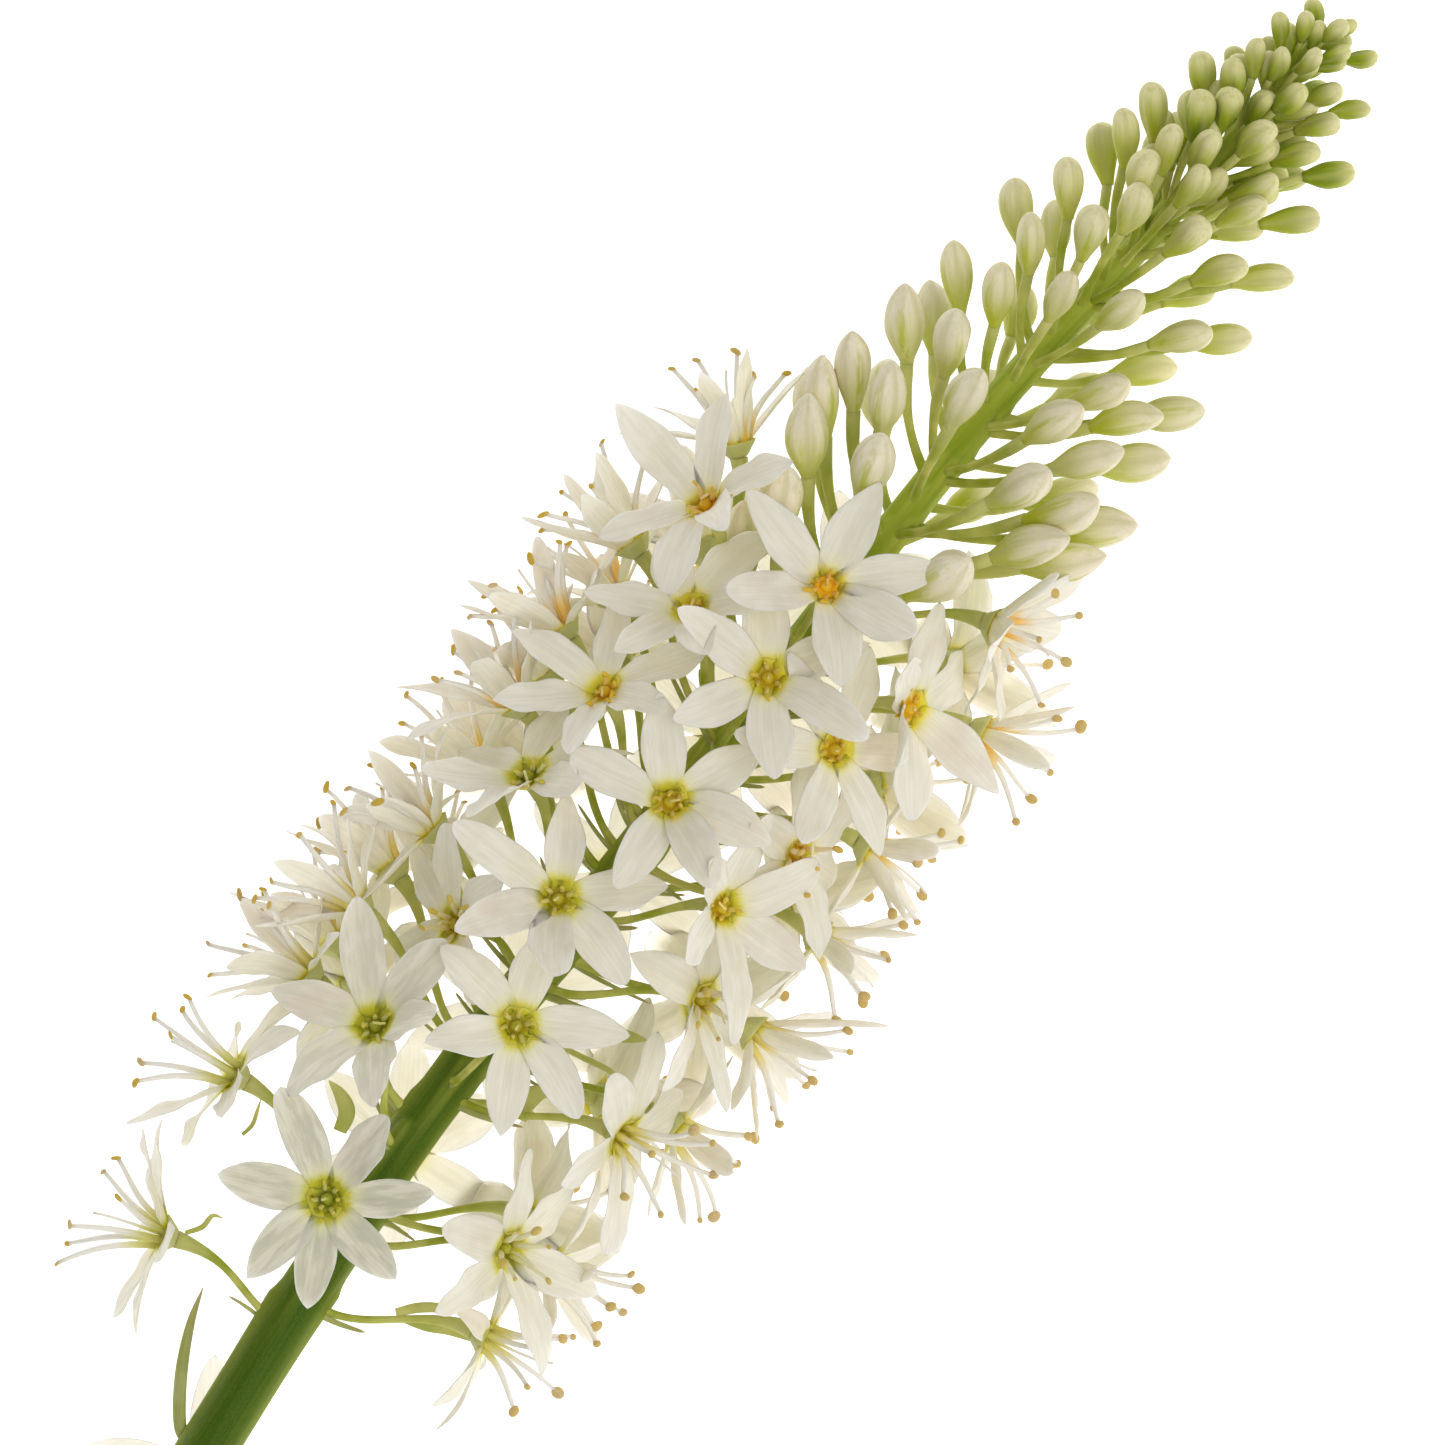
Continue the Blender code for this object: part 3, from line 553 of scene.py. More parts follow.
def flowers():
    """Every open flower: those seen from above, the rows behind them and the row beneath."""
    draw = np.random.default_rng(SEED)
    chord = unit(HEAD - FOOT)
    view_angle = math.atan2(-chord[1], chord[0])
    made = []
    for seen in SEEN:
        along, off = seen_at(seen.x, seen.y)
        if seen.turn is None:
            reach = max(FLOWER_REACH, abs(off) * REACH_BEYOND)
            turn = math.asin(off / reach)
        else:
            turn = math.radians(seen.turn)
            reach = max(abs(off / math.sin(turn)), FLOWER_REACH * SHORTEST_REACH)
        given = isinstance(seen.petals, tuple)
        angles = np.radians(seen.petals) if given else petal_angles(seen.petals, draw)
        place = (along, turn, reach, seen.lean, angles - view_angle, seen.gold, True)
        made.append(Flower(len(made) + 1, *place))
    for side, middle, reach, stations in HIDDEN_ROWS:
        for along in stations:
            wander = draw.uniform(-HIDDEN_TURN_WANDER, HIDDEN_TURN_WANDER)
            turn = side * math.radians(middle + wander)
            angles = petal_angles(draw.uniform(0, 360 / PETALS), draw)
            gold = np.interp(along, HIDDEN_GOLD, (0, 1))
            shown = middle < HALF_HIDDEN_TURN
            place = (along * MM, turn, reach * MM, FLOWER_LEAN, angles, gold, shown)
            made.append(Flower(len(made) + 1, *place))
    even = np.radians(PRESSED_PETAL + 360 * np.arange(PETALS) / PETALS)
    lowest = np.sort(view_angle - np.radians(LOWEST_PETALS))
    for along in PRESSED_ALONG:
        flat = lowest if along == PRESSED_ALONG[0] else even
        place = (along * MM, math.pi, AXIS_HEIGHT, 0, flat, PRESSED_GOLD, False, True)
        made.append(Flower(len(made) + 1, *place))
    return made


ALL_FLOWERS = flowers()


def bud_places():
    """Each bud's station, its turn round the stem and its reach: the seen ones, the hidden ones and
    then the small inner ones."""
    places = []
    for x, y, *reach in BUDS:
        along, off = seen_at(x, y)
        usual = through(BUD_REACH, along / MM)
        reach = max((reach[0] if reach else usual) * MM, abs(off))
        places.append((along, math.asin(off / reach), reach))
    for k in range(HIDDEN_BUDS):
        along = np.interp(k, (0, HIDDEN_BUDS - 1), HIDDEN_BUDS_ALONG) * MM
        turn = math.radians(np.interp(k * GOLDEN_SHARE % 1, (0, 1), HIDDEN_BUDS_TURN))
        places.append((along, turn, float(HIDDEN_BUDS_REACH * through(BUD_REACH, along / MM) * MM)))
    k = np.arange(INNER_BUDS)
    along = np.interp(k, (0, INNER_BUDS - 1), INNER_BUDS_ALONG) * MM
    turn = FULL_TURN * (k * GOLDEN_SHARE % 1) - math.pi
    reach = INNER_BUDS_REACH * through(BUD_REACH, along / MM) * MM
    return np.concatenate((places, np.stack((along, turn, reach), axis=1)))


class BudPlaces:
    """All the buds as arrays: their feet, the ways they point, their lengths and their stalks."""

    def __init__(self):
        self.along, self.turn, reach = bud_places().T
        growth = 1 + TIP_BUD_GROWTH * eased(self.along, *TIP_GROWTH_ALONG)
        self.length = through(BUD_LENGTH, self.along / MM) * MM * growth
        out = outward(self.turn)
        self.way = math.cos(BUD_SLANT) * X_AXIS + math.sin(BUD_SLANT) * out
        half = 0.5 * self.length[:, None] * self.way
        self.foot = axis_points(self.along) + reach[:, None] * out - half
        slope = through(BUD_STALK_SLOPE, self.along / MM)
        rise = slope * np.maximum(reach - 0.5 * self.length * math.sin(BUD_SLANT), 0)
        self.root_along = self.along - 0.5 * self.length * math.cos(BUD_SLANT) - rise
        self.root = axis_points(self.root_along)
        sag = BUD_STALK_SAG * reach[:, None] * (out - X_AXIS)
        self.middle = 0.5 * (self.root + self.foot) + sag
        self.stalk_radius = np.interp(self.along / MM, *zip(*BUD_STALK_RADIUS)) * MM


ALL_BUDS = BudPlaces()


def grid_net(points):
    """The faces of closed grids: points has copies, rows, sides and three numbers, and the first
    and last row of each copy are its poles. A copy whose volume comes out negative is turned."""
    copies, rows, sides = points.shape[:3]
    per_copy = 2 + (rows - 2) * sides
    index = np.empty((copies, rows, sides), int)
    index[:, 0] = 0
    index[:, -1] = per_copy - 1
    index[:, 1:-1] = 1 + np.arange((rows - 2) * sides).reshape(rows - 2, sides)
    index += per_copy * np.arange(copies)[:, None, None]
    after = np.roll(index, -1, axis=2)
    quads = np.stack((index[:, 1:-2], after[:, 1:-2], after[:, 2:-1], index[:, 2:-1]), axis=-1)
    first = np.stack((index[:, 0], after[:, 1], index[:, 1]), axis=-1)
    last = np.stack((index[:, -2], after[:, -2], index[:, -1]), axis=-1)
    middle = points.mean(axis=(1, 2), keepdims=True)
    around = points - middle
    beside = np.roll(around, -1, axis=2)
    volume = (around[:, :-1] * np.cross(beside[:, :-1], beside[:, 1:])).sum(axis=(1, 2, 3))
    volume += (around[:, :-1] * np.cross(beside[:, 1:], around[:, 1:])).sum(axis=(1, 2, 3))
    turned = (volume < 0)[:, None, None]
    quads = np.where(turned[..., None], quads[..., ::-1], quads).reshape(-1, 4)
    ends = np.stack((first, last), axis=1)
    ends = np.where(turned[..., None], ends[..., ::-1], ends).reshape(-1, 3)
    return quads, ends


def grid_values(values, points):
    """A value on every grid point, with each pole's row taken once."""
    extra = values.shape[3:] if values.ndim > 3 else ()
    full = np.broadcast_to(values, points.shape[:3] + extra)
    inner = full[:, 1:-1].reshape(len(full), -1, *extra)
    return np.concatenate((full[:, :1, 0], inner, full[:, -1:, 0]), axis=1).reshape(-1, *extra)


Shape = namedtuple("Shape", "points material values")


def shape(points, material, **values):
    """Closed grids of one finish, with named values on their points for the finish to read."""
    values = {name: np.asarray(value, float) for name, value in values.items()}
    return Shape(points, material, values)


def piece(name, shapes, nodes):
    """One object at the origin from several shapes, riding on the body and standing for nodes."""
    corners, faces, kinds, start = [], [], [], 0
    values = {key: [] for made in shapes for key in made.values}
    materials = list(dict.fromkeys(made.material for made in shapes))
    for made in shapes:
        quads, ends = grid_net(made.points)
        corners.append(grid_values(made.points, made.points))
        faces += (quads + start).tolist() + (ends + start).tolist()
        kinds += [materials.index(made.material)] * (len(quads) + len(ends))
        start += len(corners[-1])
        for key, parts in values.items():
            flat = np.zeros((1, 1, 1, 3)) if key == "grain" else np.zeros((1, 1, 1))
            parts.append(grid_values(made.values.get(key, flat), made.points))
    mesh = bpy.data.meshes.new(name)
    mesh.from_pydata(np.concatenate(corners).tolist(), [], faces)
    for material in materials:
        mesh.materials.append(material)
    mesh.polygons.foreach_set("material_index", kinds)
    for key, parts in values.items():
        kind, field = ("FLOAT_VECTOR", "vector") if key == "grain" else ("FLOAT", "value")
        attribute = mesh.attributes.new(key, kind, "POINT")
        attribute.data.foreach_set(field, np.concatenate(parts).astype(np.float32).ravel())
    mesh.shade_smooth()
    mesh.update()
    made = bpy.data.objects.new(name, mesh)
    bpy.context.scene.collection.objects.link(made)
    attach(made, "root")
    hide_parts(*nodes)
    return made


def round_turns(sides):
    """Even angles all the way round."""
    return FULL_TURN * np.arange(sides) / sides


def own_number(points):
    """How far each copy's pattern is shifted, in millimetres, so that no two look the same."""
    return 7.3 * np.arange(len(points))[:, None, None]


def stacked(points, *parts):
    """Three numbers for each of the grid points."""
    return np.stack([np.broadcast_to(part, points.shape[:3]) for part in parts], axis=-1)


def flat_grain(points, across, along):
    """Pattern places on a leaf: how far across and along it in millimetres, and a copy's own
    number."""
    return stacked(points, across / MM, along / MM, own_number(points))


def round_grain(points, radius, along):
    """Pattern places on a round shoot: a circle of its radius and the way along, in millimetres,
    each copy starting in its own place."""
    turn = round_turns(points.shape[2])
    across = radius / MM * np.cos(turn) + own_number(points)
    return stacked(points, across, along / MM, radius / MM * np.sin(turn))


def tubes(paths, radii, sides, flatness=1.0, upright=None):
    """Round shoots along paths: each ring is the path's point plus its radius times cos(a) of the
    one side and sin(a) of the other, both square to the path. The ends close in flat poles."""
    way = unit(np.gradient(paths, axis=1))
    if upright is None:
        least = np.argmin(np.abs(way.mean(axis=1)), axis=1)
        upright = np.eye(3)[least][:, None, :]
    side = unit(np.cross(way, upright))
    other = np.cross(side, way)
    turn = round_turns(sides)
    ring = np.cos(turn)[:, None] * side[:, :, None, :]
    ring = ring + flatness * np.sin(turn)[:, None] * other[:, :, None, :]
    points = paths[:, :, None, :] + radii[:, :, None, None] * ring
    first = np.repeat(paths[:, :1, None, :], sides, axis=2)
    last = np.repeat(paths[:, -1:, None, :], sides, axis=2)
    return np.concatenate((first, points, last), axis=1)


def with_ends(values):
    """Values along a path, with the first and the last given again for the poles."""
    return np.concatenate((values[:, :1], values, values[:, -1:]), axis=1)


def shares_along(paths):
    """How far along its path each ring of its tube lies, from 0 to 1."""
    return with_ends(np.linspace(0, 1, paths.shape[1])[None])[..., None]


def shoots(paths, radii, sides, material, length, flatness=1.0, upright=None, **values):
    """Tubes along paths with a pattern of a length in millimetres. They hold the share of the way
    along, and what else they are given."""
    points = above_surface(tubes(paths, radii, sides, flatness, upright))
    along = shares_along(paths)
    grain = round_grain(points, MM, along * length * MM)
    return shape(points, material, **{"along": along, "grain": grain, **values})


def above_surface(points):
    """Lays what would reach under the surface flat on it: a height z below h becomes
    h e^(z/h - 1)."""
    z = points[..., 2]
    laid = CLEAR_OF_SURFACE * np.exp(np.minimum(z / CLEAR_OF_SURFACE, 1) - 1)
    points[..., 2] = np.where(z < CLEAR_OF_SURFACE, laid, z)
    return points


def petal_line(flower, t, length, lifted):
    """A petal's middle line at shares t of its length: its slope, how far out and how high it is.

    It leaves the cup steeply and turns outwards: its slope is the petal's lift, plus the throat's
    steepness times e^-(t/throat)^2, plus a bend times t^2. Every second petal lies inside its
    neighbours, and a pressed flower's petals lie flat."""
    inner = (np.argsort(np.argsort(flower.angles)) % 2)[:, None]
    bend = np.radians(flower.drawn(*PETAL_BEND))
    lift = flower.lifts[:, None] + lifted * np.radians(flower.drawn(*SIDE_LIFT))
    slope = lift + (PETAL_STEEP - lift) * np.exp(-((t / PETAL_THROAT) ** 2)) + bend * t * t
    sink = PETAL_SINK
    if flower.pressed:
        slope = np.zeros_like(slope)
        sink = np.where(inner, PRESSED_SINKS[1], PRESSED_SINKS[0])
    step = np.diff(t, prepend=0) * length
    radius = PETAL_ROOT + np.cumsum(step * np.cos(slope), axis=1)
    rise = inner * PETAL_INNER_RISE * eased(t, 0, 0.3) - sink
    return slope, radius, rise + np.cumsum(step * np.sin(slope), axis=1)


def petal_half_width(flower, sizes, t, share):
    """Half a petal's width at shares t of its length: it grows as sin(t) to the widest place and
    then falls as (1 - u^full)^blunt."""
    widest, blunt = flower.drawn(*PETAL_WIDEST), flower.drawn(*PETAL_BLUNTNESS)
    grow = np.sin(0.5 * math.pi * np.clip(t / widest, 0, 1))
    grow = PETAL_START_WIDTH + (1 - PETAL_START_WIDTH) * grow
    beyond = np.clip((t - widest) / (1 - widest), 0, 1)
    fall = (1 - beyond ** flower.drawn(*PETAL_FULLNESS)) ** blunt
    whole = HERO_WIDTH if flower is ALL_FLOWERS[0] else flower.chance.uniform(*FLOWER_WIDTHS)
    width = sizes.petal_width * (whole * share) * flower.drawn(*PETAL_WIDTHS)
    return 0.5 * width * grow * fall


def petal_shape(flower, sizes, material):
    """A flower's petals, each a closed leaf round its middle line.

    On a ring angle a the leaf lies cos(a) of the half width across, raised by the cup times the
    square of that, by a wave at its edges, and by half the thickness times the root of sin(a). It
    twists round the line and bows aside as t^2. In the crowd at the sides the petals are lifted
    further, to stand among the stamens, and are narrower, and those at the right are folded."""
    steps, sides = SEEN_PETAL_GRID if flower.seen else HIDDEN_PETAL_GRID
    even = np.linspace(0, 1, steps)
    t = np.concatenate(((0,), 0.5 * even + 0.5 * np.sin(0.5 * math.pi * even)))
    filled = np.concatenate(((0,), np.ones(steps)))
    behind = not flower.pressed and abs(flower.turn) > math.radians(HALF_HIDDEN_TURN)
    least = (HIDDEN_LENGTH if behind else SHORTEST_SHOWN) * PETAL_LENGTH
    length = (np.maximum(flower.lengths / np.cos(flower.lifts), least) - PETAL_ROOT)[:, None]
    turned = eased(abs(math.degrees(flower.turn)), *SIDE_TURNS) * (not flower.pressed)
    crowd = turned * eased(flower.station, *SIDE_STATIONS)
    left = flower.turn > 0
    narrowed = LEFT_SIDE_NARROWING * crowd if left else RIGHT_SIDE_NARROWING * turned
    line = petal_line(flower, t, length, crowd * (1 if left else RIGHT_SIDE_LIFT))
    share = HIDDEN_WIDTH if behind else 1 - narrowed
    half = petal_half_width(flower, sizes, t, share) * filled
    cup = flower.drawn(*PETAL_CUP) * (1 - 0.6 * t) * (1 if left else 1 + RIGHT_SIDE_FOLD * turned)
    phase, pace = flower.drawn(0, FULL_TURN), flower.drawn(*PETAL_WAVES)
    wave = sizes.petal_wave * np.sin(FULL_TURN * pace * t + phase) * eased(t, 0.1, 0.5)
    skin = 0.5 * sizes.petal_thickness * filled * (1 - t**10)
    v, up = np.cos(round_turns(sides)), np.sin(round_turns(sides))
    raised = skin[:, None] * np.sign(up) * np.sqrt(np.abs(up))
    if not flower.pressed:
        edge = 2 * wave * half / sizes.petal_width
        raised = raised + (cup * half)[..., None] * v * v + edge[..., None] * v**3
    twist = np.radians(flower.drawn(-PETAL_TWIST, PETAL_TWIST)) * eased(t, 0.15, 1)
    twist = twist * (not flower.pressed)
    bow = flower.drawn(-PETAL_SIDEWAYS, PETAL_SIDEWAYS) * length * t * t
    out = flower.round(flower.angles)[:, None, None, :]
    aside = np.cross(flower.face, out)
    slope, radius, rise, c, s, bow = (
        part[..., None, None] for part in (*line, np.cos(twist), np.sin(twist), bow)
    )
    normal_out = np.cos(slope) * flower.face - np.sin(slope) * out
    across, raised = (half[..., None] * v)[..., None], raised[..., None]
    points = flower.heart + radius * out + rise * flower.face
    points = points + (bow + across * c - raised * s) * aside
    points = points + (across * s + raised * c) * normal_out
    reach = (t * length)[..., None]
    return shape(
        above_surface(points), material, along=(PETAL_ROOT + reach) / PETAL_LENGTH,
        gold=flower.gold, tone=flower.drawn(0, 1)[..., None], rib=np.abs(v),
        grain=flat_grain(points, across[..., 0], reach),
    )


def cup_shape(flower, material):
    """The cup that carries the petals: its profile turned round the way that the flower faces."""
    radius, height = np.array(CUP_PROFILE).T * MM
    if flower.pressed:
        height = np.minimum(height + PRESSED_CUP, -PRESSED_CUP)
    turn = round_turns(CUP_SIDES)
    lobes = 1 + CUP_LOBES * np.cos(PETALS * turn)
    around = flower.round(turn)
    points = flower.heart + (radius[:, None] * lobes)[..., None] * around
    points = (points + height[:, None, None] * flower.face)[None]
    inside = eased(np.arange(len(radius)), *CUP_INSIDE)
    return shape(
        above_surface(points), material, inside=inside[:, None], gold=flower.gold,
        along=(radius / radius.max())[:, None],
        grain=round_grain(points, radius[:, None], height[:, None]),
    )


def stamen_ways(flower, count):
    """The way each stamen ends, the flower's own middle way, and how far it is seen from the side.

    A flower turned towards the viewpoint keeps its stamens in its heart, and one at the side
    spreads them round the way that it faces."""
    chance = flower.chance
    sideways = float(eased(abs(math.degrees(flower.turn)), *FACING_TURNS))
    middle = unit((1 - sideways) * unit(VIEWPOINT - flower.heart) + sideways * flower.face)
    spread = np.radians(np.interp(sideways, (0, 1), STAMEN_SPREADS))
    spread = spread * chance.uniform(*STAMEN_SPREAD_CHANCE, count)
    wander = np.radians(chance.uniform(-STAMEN_WANDER, STAMEN_WANDER, count))
    spread = spread + (1 - sideways) * wander
    angles = chance.uniform(0, FULL_TURN) + round_turns(count)
    angles = angles + chance.uniform(-STAMEN_TURN_WANDER, STAMEN_TURN_WANDER, count)
    around = unit(flower.round(angles) - (flower.round(angles) @ middle)[:, None] * middle)
    ways = np.cos(spread)[:, None] * middle + np.sin(spread)[:, None] * around
    return angles, ways, middle, sideways


def ellipsoids(centres, ways, sides_ways, lengths, widths, grid, groove=0.0):
    """Closed ovals: each point is the centre plus cos(p) of the half length along, and sin(p) of
    the half width round it, with a groove of a share of the width down one side."""
    rows, sides = grid
    p = np.linspace(0, math.pi, rows)
    turn = round_turns(sides)
    side = unit(sides_ways - (sides_ways * ways).sum(axis=1, keepdims=True) * ways)
    other = np.cross(ways, side)[:, None, None, :]
    dip = 1 - groove * np.exp(-((np.angle(np.exp(1j * turn)) / 0.6) ** 2))
    ring = np.cos(turn)[:, None] * side[:, None, None, :] + np.sin(turn)[:, None] * other
    ring = ring * dip[:, None] * np.sin(p)[:, None, None] * 0.5 * widths[:, None, None, None]
    along = (np.cos(p) * 0.5 * lengths[:, None])[..., None, None] * ways[:, None, None, :]
    return centres[:, None, None, :] + along + ring


def anther_shape(flower, sizes, material, tip, end_way, sideways):
    """The anthers: grooved ovals across the threads' tips, smaller in a flower that faces the
    viewpoint unless it is fresh, and wider at the right."""
    chance, front = flower.chance, 1 - sideways
    fresh = flower.gold * front
    hang = unit(np.cross(end_way, chance.normal(size=(PETALS, 3))))
    ahead = chance.uniform(*ANTHER_WAY_CHANCE, (PETALS, 1)) + FRONT_ANTHER_WAY * front
    way = unit(end_way * ahead + hang)
    right_side = eased(-math.degrees(flower.turn), *RIGHT_ANTHER_TURNS)
    long = sizes.anther_length * chance.uniform(*ANTHER_LENGTH_CHANCE, PETALS)
    long = long * (1 - front * (0.25 - 0.6 * fresh)) * (1 + SIDE_ANTHER_LENGTH * sideways)
    wide = chance.uniform(*ANTHER_WIDTHS, PETALS) * (1 - 0.45 * fresh)
    wide = long * (wide + RIGHT_ANTHER_WIDTH * right_side * sideways)
    centre = tip + 0.15 * long[:, None] * way
    ovals = above_surface(ellipsoids(centre, way, hang, long, wide, ANTHER_GRID, 0.3))
    return shape(
        ovals, material, tone=chance.uniform(0, 1, (PETALS, 1, 1)), gold=flower.gold,
        side=right_side, front=front, grain=round_grain(ovals, sizes.anther_length, 0),
    )


def ovary_shape(flower, sizes, material):
    """The ovary: an oval deep in the heart, with three lobes as cos(3a)."""
    rows, sides = OVARY_GRID
    long, wide = (np.array([part * sizes.ovary_radius]) for part in OVARY_FORM)
    centre = flower.heart[None] - OVARY_DEPTH * flower.face
    oval = ellipsoids(centre, flower.face[None], flower.along[None], long, wide, OVARY_GRID)
    axis = flower.heart + ((oval - flower.heart) @ flower.face)[..., None] * flower.face
    oval = axis + (oval - axis) * (1 + OVARY_LOBES * np.cos(3 * round_turns(sides)))[:, None]
    grain = round_grain(oval, sizes.ovary_radius, np.linspace(0, 2 * MM, rows)[:, None])
    return shape(above_surface(oval), material, gold=flower.gold, grain=grain)


def style_shape(flower, sizes, material, middle, sideways):
    """The style: a thinner thread from the ovary along a Bezier curve, leaning by chance."""
    start = flower.heart - STYLE_DEPTH * flower.face
    length = STYLE_LENGTH * np.interp(sideways, (0, 1), STAMEN_LENGTHS)
    lean = unit(middle + (0.7 - 0.55 * sideways) * flower.chance.uniform(-1, 1, 3))
    steps = (0 * lean, 0.4 * flower.face, 0.75 * middle, lean)
    times = np.linspace(0, 1, FILAMENT_ROWS)
    path = bezier([start + length * step for step in steps], times)[None]
    radii = (STYLE_RADIUS * sizes.filament_radius * (1 - 0.3 * times))[None]
    tube = above_surface(tubes(path, radii, FILAMENT_SIDES))
    return shape(
        tube, material, along=shares_along(path), gold=flower.gold, front=1 - sideways,
        grain=round_grain(tube, sizes.filament_radius, 0),
    )


def stamen_shapes(flower, sizes, finishes):
    """A flower's six threads with their anthers, its ovary and its style.

    A thread is a Bezier curve from its foot in the cup, first along the middle way and then out to
    its own, and its radius falls as 1 less the taper times t. Threads at the side are longer and
    thicker."""
    chance = flower.chance
    angles, ways, middle, sideways = stamen_ways(flower, PETALS)
    shortest = np.interp(sideways, (0, 1), SHORTEST_STAMENS)
    length = np.interp(sideways, (0, 1), STAMEN_LENGTHS)
    length = length * chance.uniform(shortest, LONGEST_STAMEN, (PETALS, 1))
    length = length * (1 + LEFT_STAMEN_GROWTH * sideways * (flower.turn > 0))
    foot = flower.heart + STAMEN_ROOT * flower.round(angles) - STAMEN_SINK * flower.face
    tip = foot + length * ways
    curl = chance.uniform(-STAMEN_CURL, STAMEN_CURL, (PETALS, 3))
    knee = foot + 0.45 * length * unit(middle + 0.5 * ways + curl)
    ending = unit(ways + 2 * curl + 0.25 * sideways * flower.round(angles))
    late = tip - 0.3 * length * ending
    times = np.linspace(0, 1, FILAMENT_ROWS)
    paths = bezier([part[:, None, :] for part in (foot, knee, late, tip)], times)
    radii = (1 + SIDE_THREAD_GROWTH * sideways) * sizes.filament_radius
    radii = radii * (1 - THREAD_TAPER * times) * np.ones((PETALS, 1))
    threads = above_surface(tubes(paths, radii, FILAMENT_SIDES))
    along = shares_along(paths)
    grain = round_grain(threads, sizes.filament_radius, along * length[..., None])
    end_way = unit(paths[:, -1] - paths[:, -2])
    thread = finishes["filament"]
    return [
        shape(threads, thread, along=along, gold=flower.gold, front=1 - sideways, grain=grain),
        anther_shape(flower, sizes, finishes["anther"], tip, end_way, sideways),
        ovary_shape(flower, sizes, finishes["ovary"]),
        style_shape(flower, sizes, thread, middle, sideways),
    ]


def stem_shape(sizes, material):
    """The stem: rings of its radius round its bowed axis, with a cut face at the foot.

    Each stalk's root raises the ring by the ridge's height times e^-(d/w)^2 of the distance d round
    the stem, fading quickly above the root and slowly below it. Faint ribs run its length as
    cos(10 a), and the foot slants to the cut."""
    stations = np.linspace(STEM_RADIUS[0][0], STEM_RADIUS[-1][0], STEM_ROWS) * MM
    radius = through(STEM_RADIUS, stations / MM) * MM
    turn = round_turns(STEM_SIDES)
    roots = np.array([(flower.root_along, flower.turn, 1.0) for flower in ALL_FLOWERS])
    small = np.full(len(ALL_BUDS.turn), BUD_RIDGE)
    bud_roots = np.stack((ALL_BUDS.root_along, ALL_BUDS.turn, small), axis=1)
    root_along, root_turn, size = np.concatenate((roots, bud_roots)).T
    leave = 3 * MM * size
    over = stations[None, :] - (root_along + leave)[:, None]
    fade = np.where(over > 0, np.exp(-((over / (2 * MM)) ** 2)), np.exp(over / (12 * MM)))
    round_off = np.angle(np.exp(1j * (turn[None, :] - root_turn[:, None])))
    width = (0.9 * MM + 0.4 * MM * size)[:, None, None]
    lump = np.exp(-((round_off[:, None, :] * radius[None, :, None] / width) ** 2))
    ridge = (lump * fade[:, :, None] * (sizes.stalk_ridge * size)[:, None, None]).max(axis=0)
    ribs = STEM_RIB_HEIGHT * np.cos(STEM_RIBS * turn + 0.02 * stations[:, None] / MM)
    reach = radius[:, None] * (1 + ribs) + ridge
    middle = axis_points(stations)
    points = middle[:, None, :] + reach[..., None] * outward(turn)
    slant = (points[..., 2:] - AXIS_HEIGHT) * math.tan(STEM_CUT_SLANT)
    near = 1 - eased(stations, stations[0], stations[0] + STEM_CUT_LENGTH)
    points[..., :1] += slant * near[:, None, None]
    shares, raised = np.array(STEM_CUT_RINGS).T
    rings = len(shares)
    cut = middle[0] + shares[:, None, None] * (points[0] - middle[0])
    cut[..., 0] -= raised[:, None] * MM
    tip = np.repeat(middle[-1:, None, :] + 0.4 * MM * X_AXIS, STEM_SIDES, axis=1)
    points = np.concatenate((cut, points, tip))[None]
    along = np.concatenate((np.full(rings, stations[0]), stations, stations[-1:]))[:, None]
    widths = np.concatenate((shares * radius[0], radius, radius[-1:]))[:, None]
    is_cut = np.concatenate((np.ones(rings), np.zeros(STEM_ROWS + 1)))[:, None]
    height = np.concatenate((np.zeros((rings, STEM_SIDES)), ridge, ridge[-1:]))
    return shape(
        points, material, along=eased(along, *STEM_GREENS), cut=is_cut,
        # flank marks the stem's sides as seen from above, where a rim light is painted.
        ridge=height / sizes.stalk_ridge, flank=np.abs(np.sin(turn)) ** 4,
        grain=round_grain(points, widths, along),
    )


def stalk_shape(material):
    """Every flower stalk: a tube along its Bezier curve that swells again under the flower."""
    times = np.linspace(0, 1, STALK_ROWS)
    paths = np.stack([bezier(flower.stalk, times) for flower in ALL_FLOWERS])
    radii = np.broadcast_to(through(STALK_RADIUS, times) * MM, paths.shape[:2])
    return shoots(paths, radii, STALK_SIDES, material, STALK_GRAIN)


def bract_shape(sizes, material):
    """The narrow bracts: flat ribbons that leave the stem below each flower stalk and run beside
    it, their half width falling as (1 - t^2.2)^0.8."""
    chance = np.random.default_rng(SEED)
    count = len(ALL_FLOWERS)
    times = np.linspace(0, 1, BRACT_GRID[0])
    reach = chance.uniform(*BRACT_REACH, count)
    paths = np.stack([bezier(f.stalk, times * share) for f, share in zip(ALL_FLOWERS, reach)])
    beside = np.cross(X_AXIS, outward([flower.turn for flower in ALL_FLOWERS]))[:, None]
    beside = chance.uniform(-BRACT_ASIDE, BRACT_ASIDE, (count, 1, 1)) * beside
    away = (0.9 + 2.2 * times**2)[:, None] * MM
    paths = paths + away * (beside - 0.8 * X_AXIS)
    taper = (1 - times**2.2) ** 0.8
    radii = sizes.bract_width * (0.35 + 0.65 * taper) * chance.uniform(*BRACT_WIDTHS, (count, 1))
    radii = radii * np.where(times > 0.97, 0.3, 1)
    points = above_surface(tubes(paths, radii, BRACT_GRID[1], BRACT_FLATNESS, Z_AXIS))
    along = shares_along(paths)
    grain = round_grain(points, sizes.bract_width, along * BRACT_GRAIN * MM)
    tone = chance.uniform(0, 1, (count, 1, 1))
    return shape(points, material, along=along, grain=grain, tone=tone)


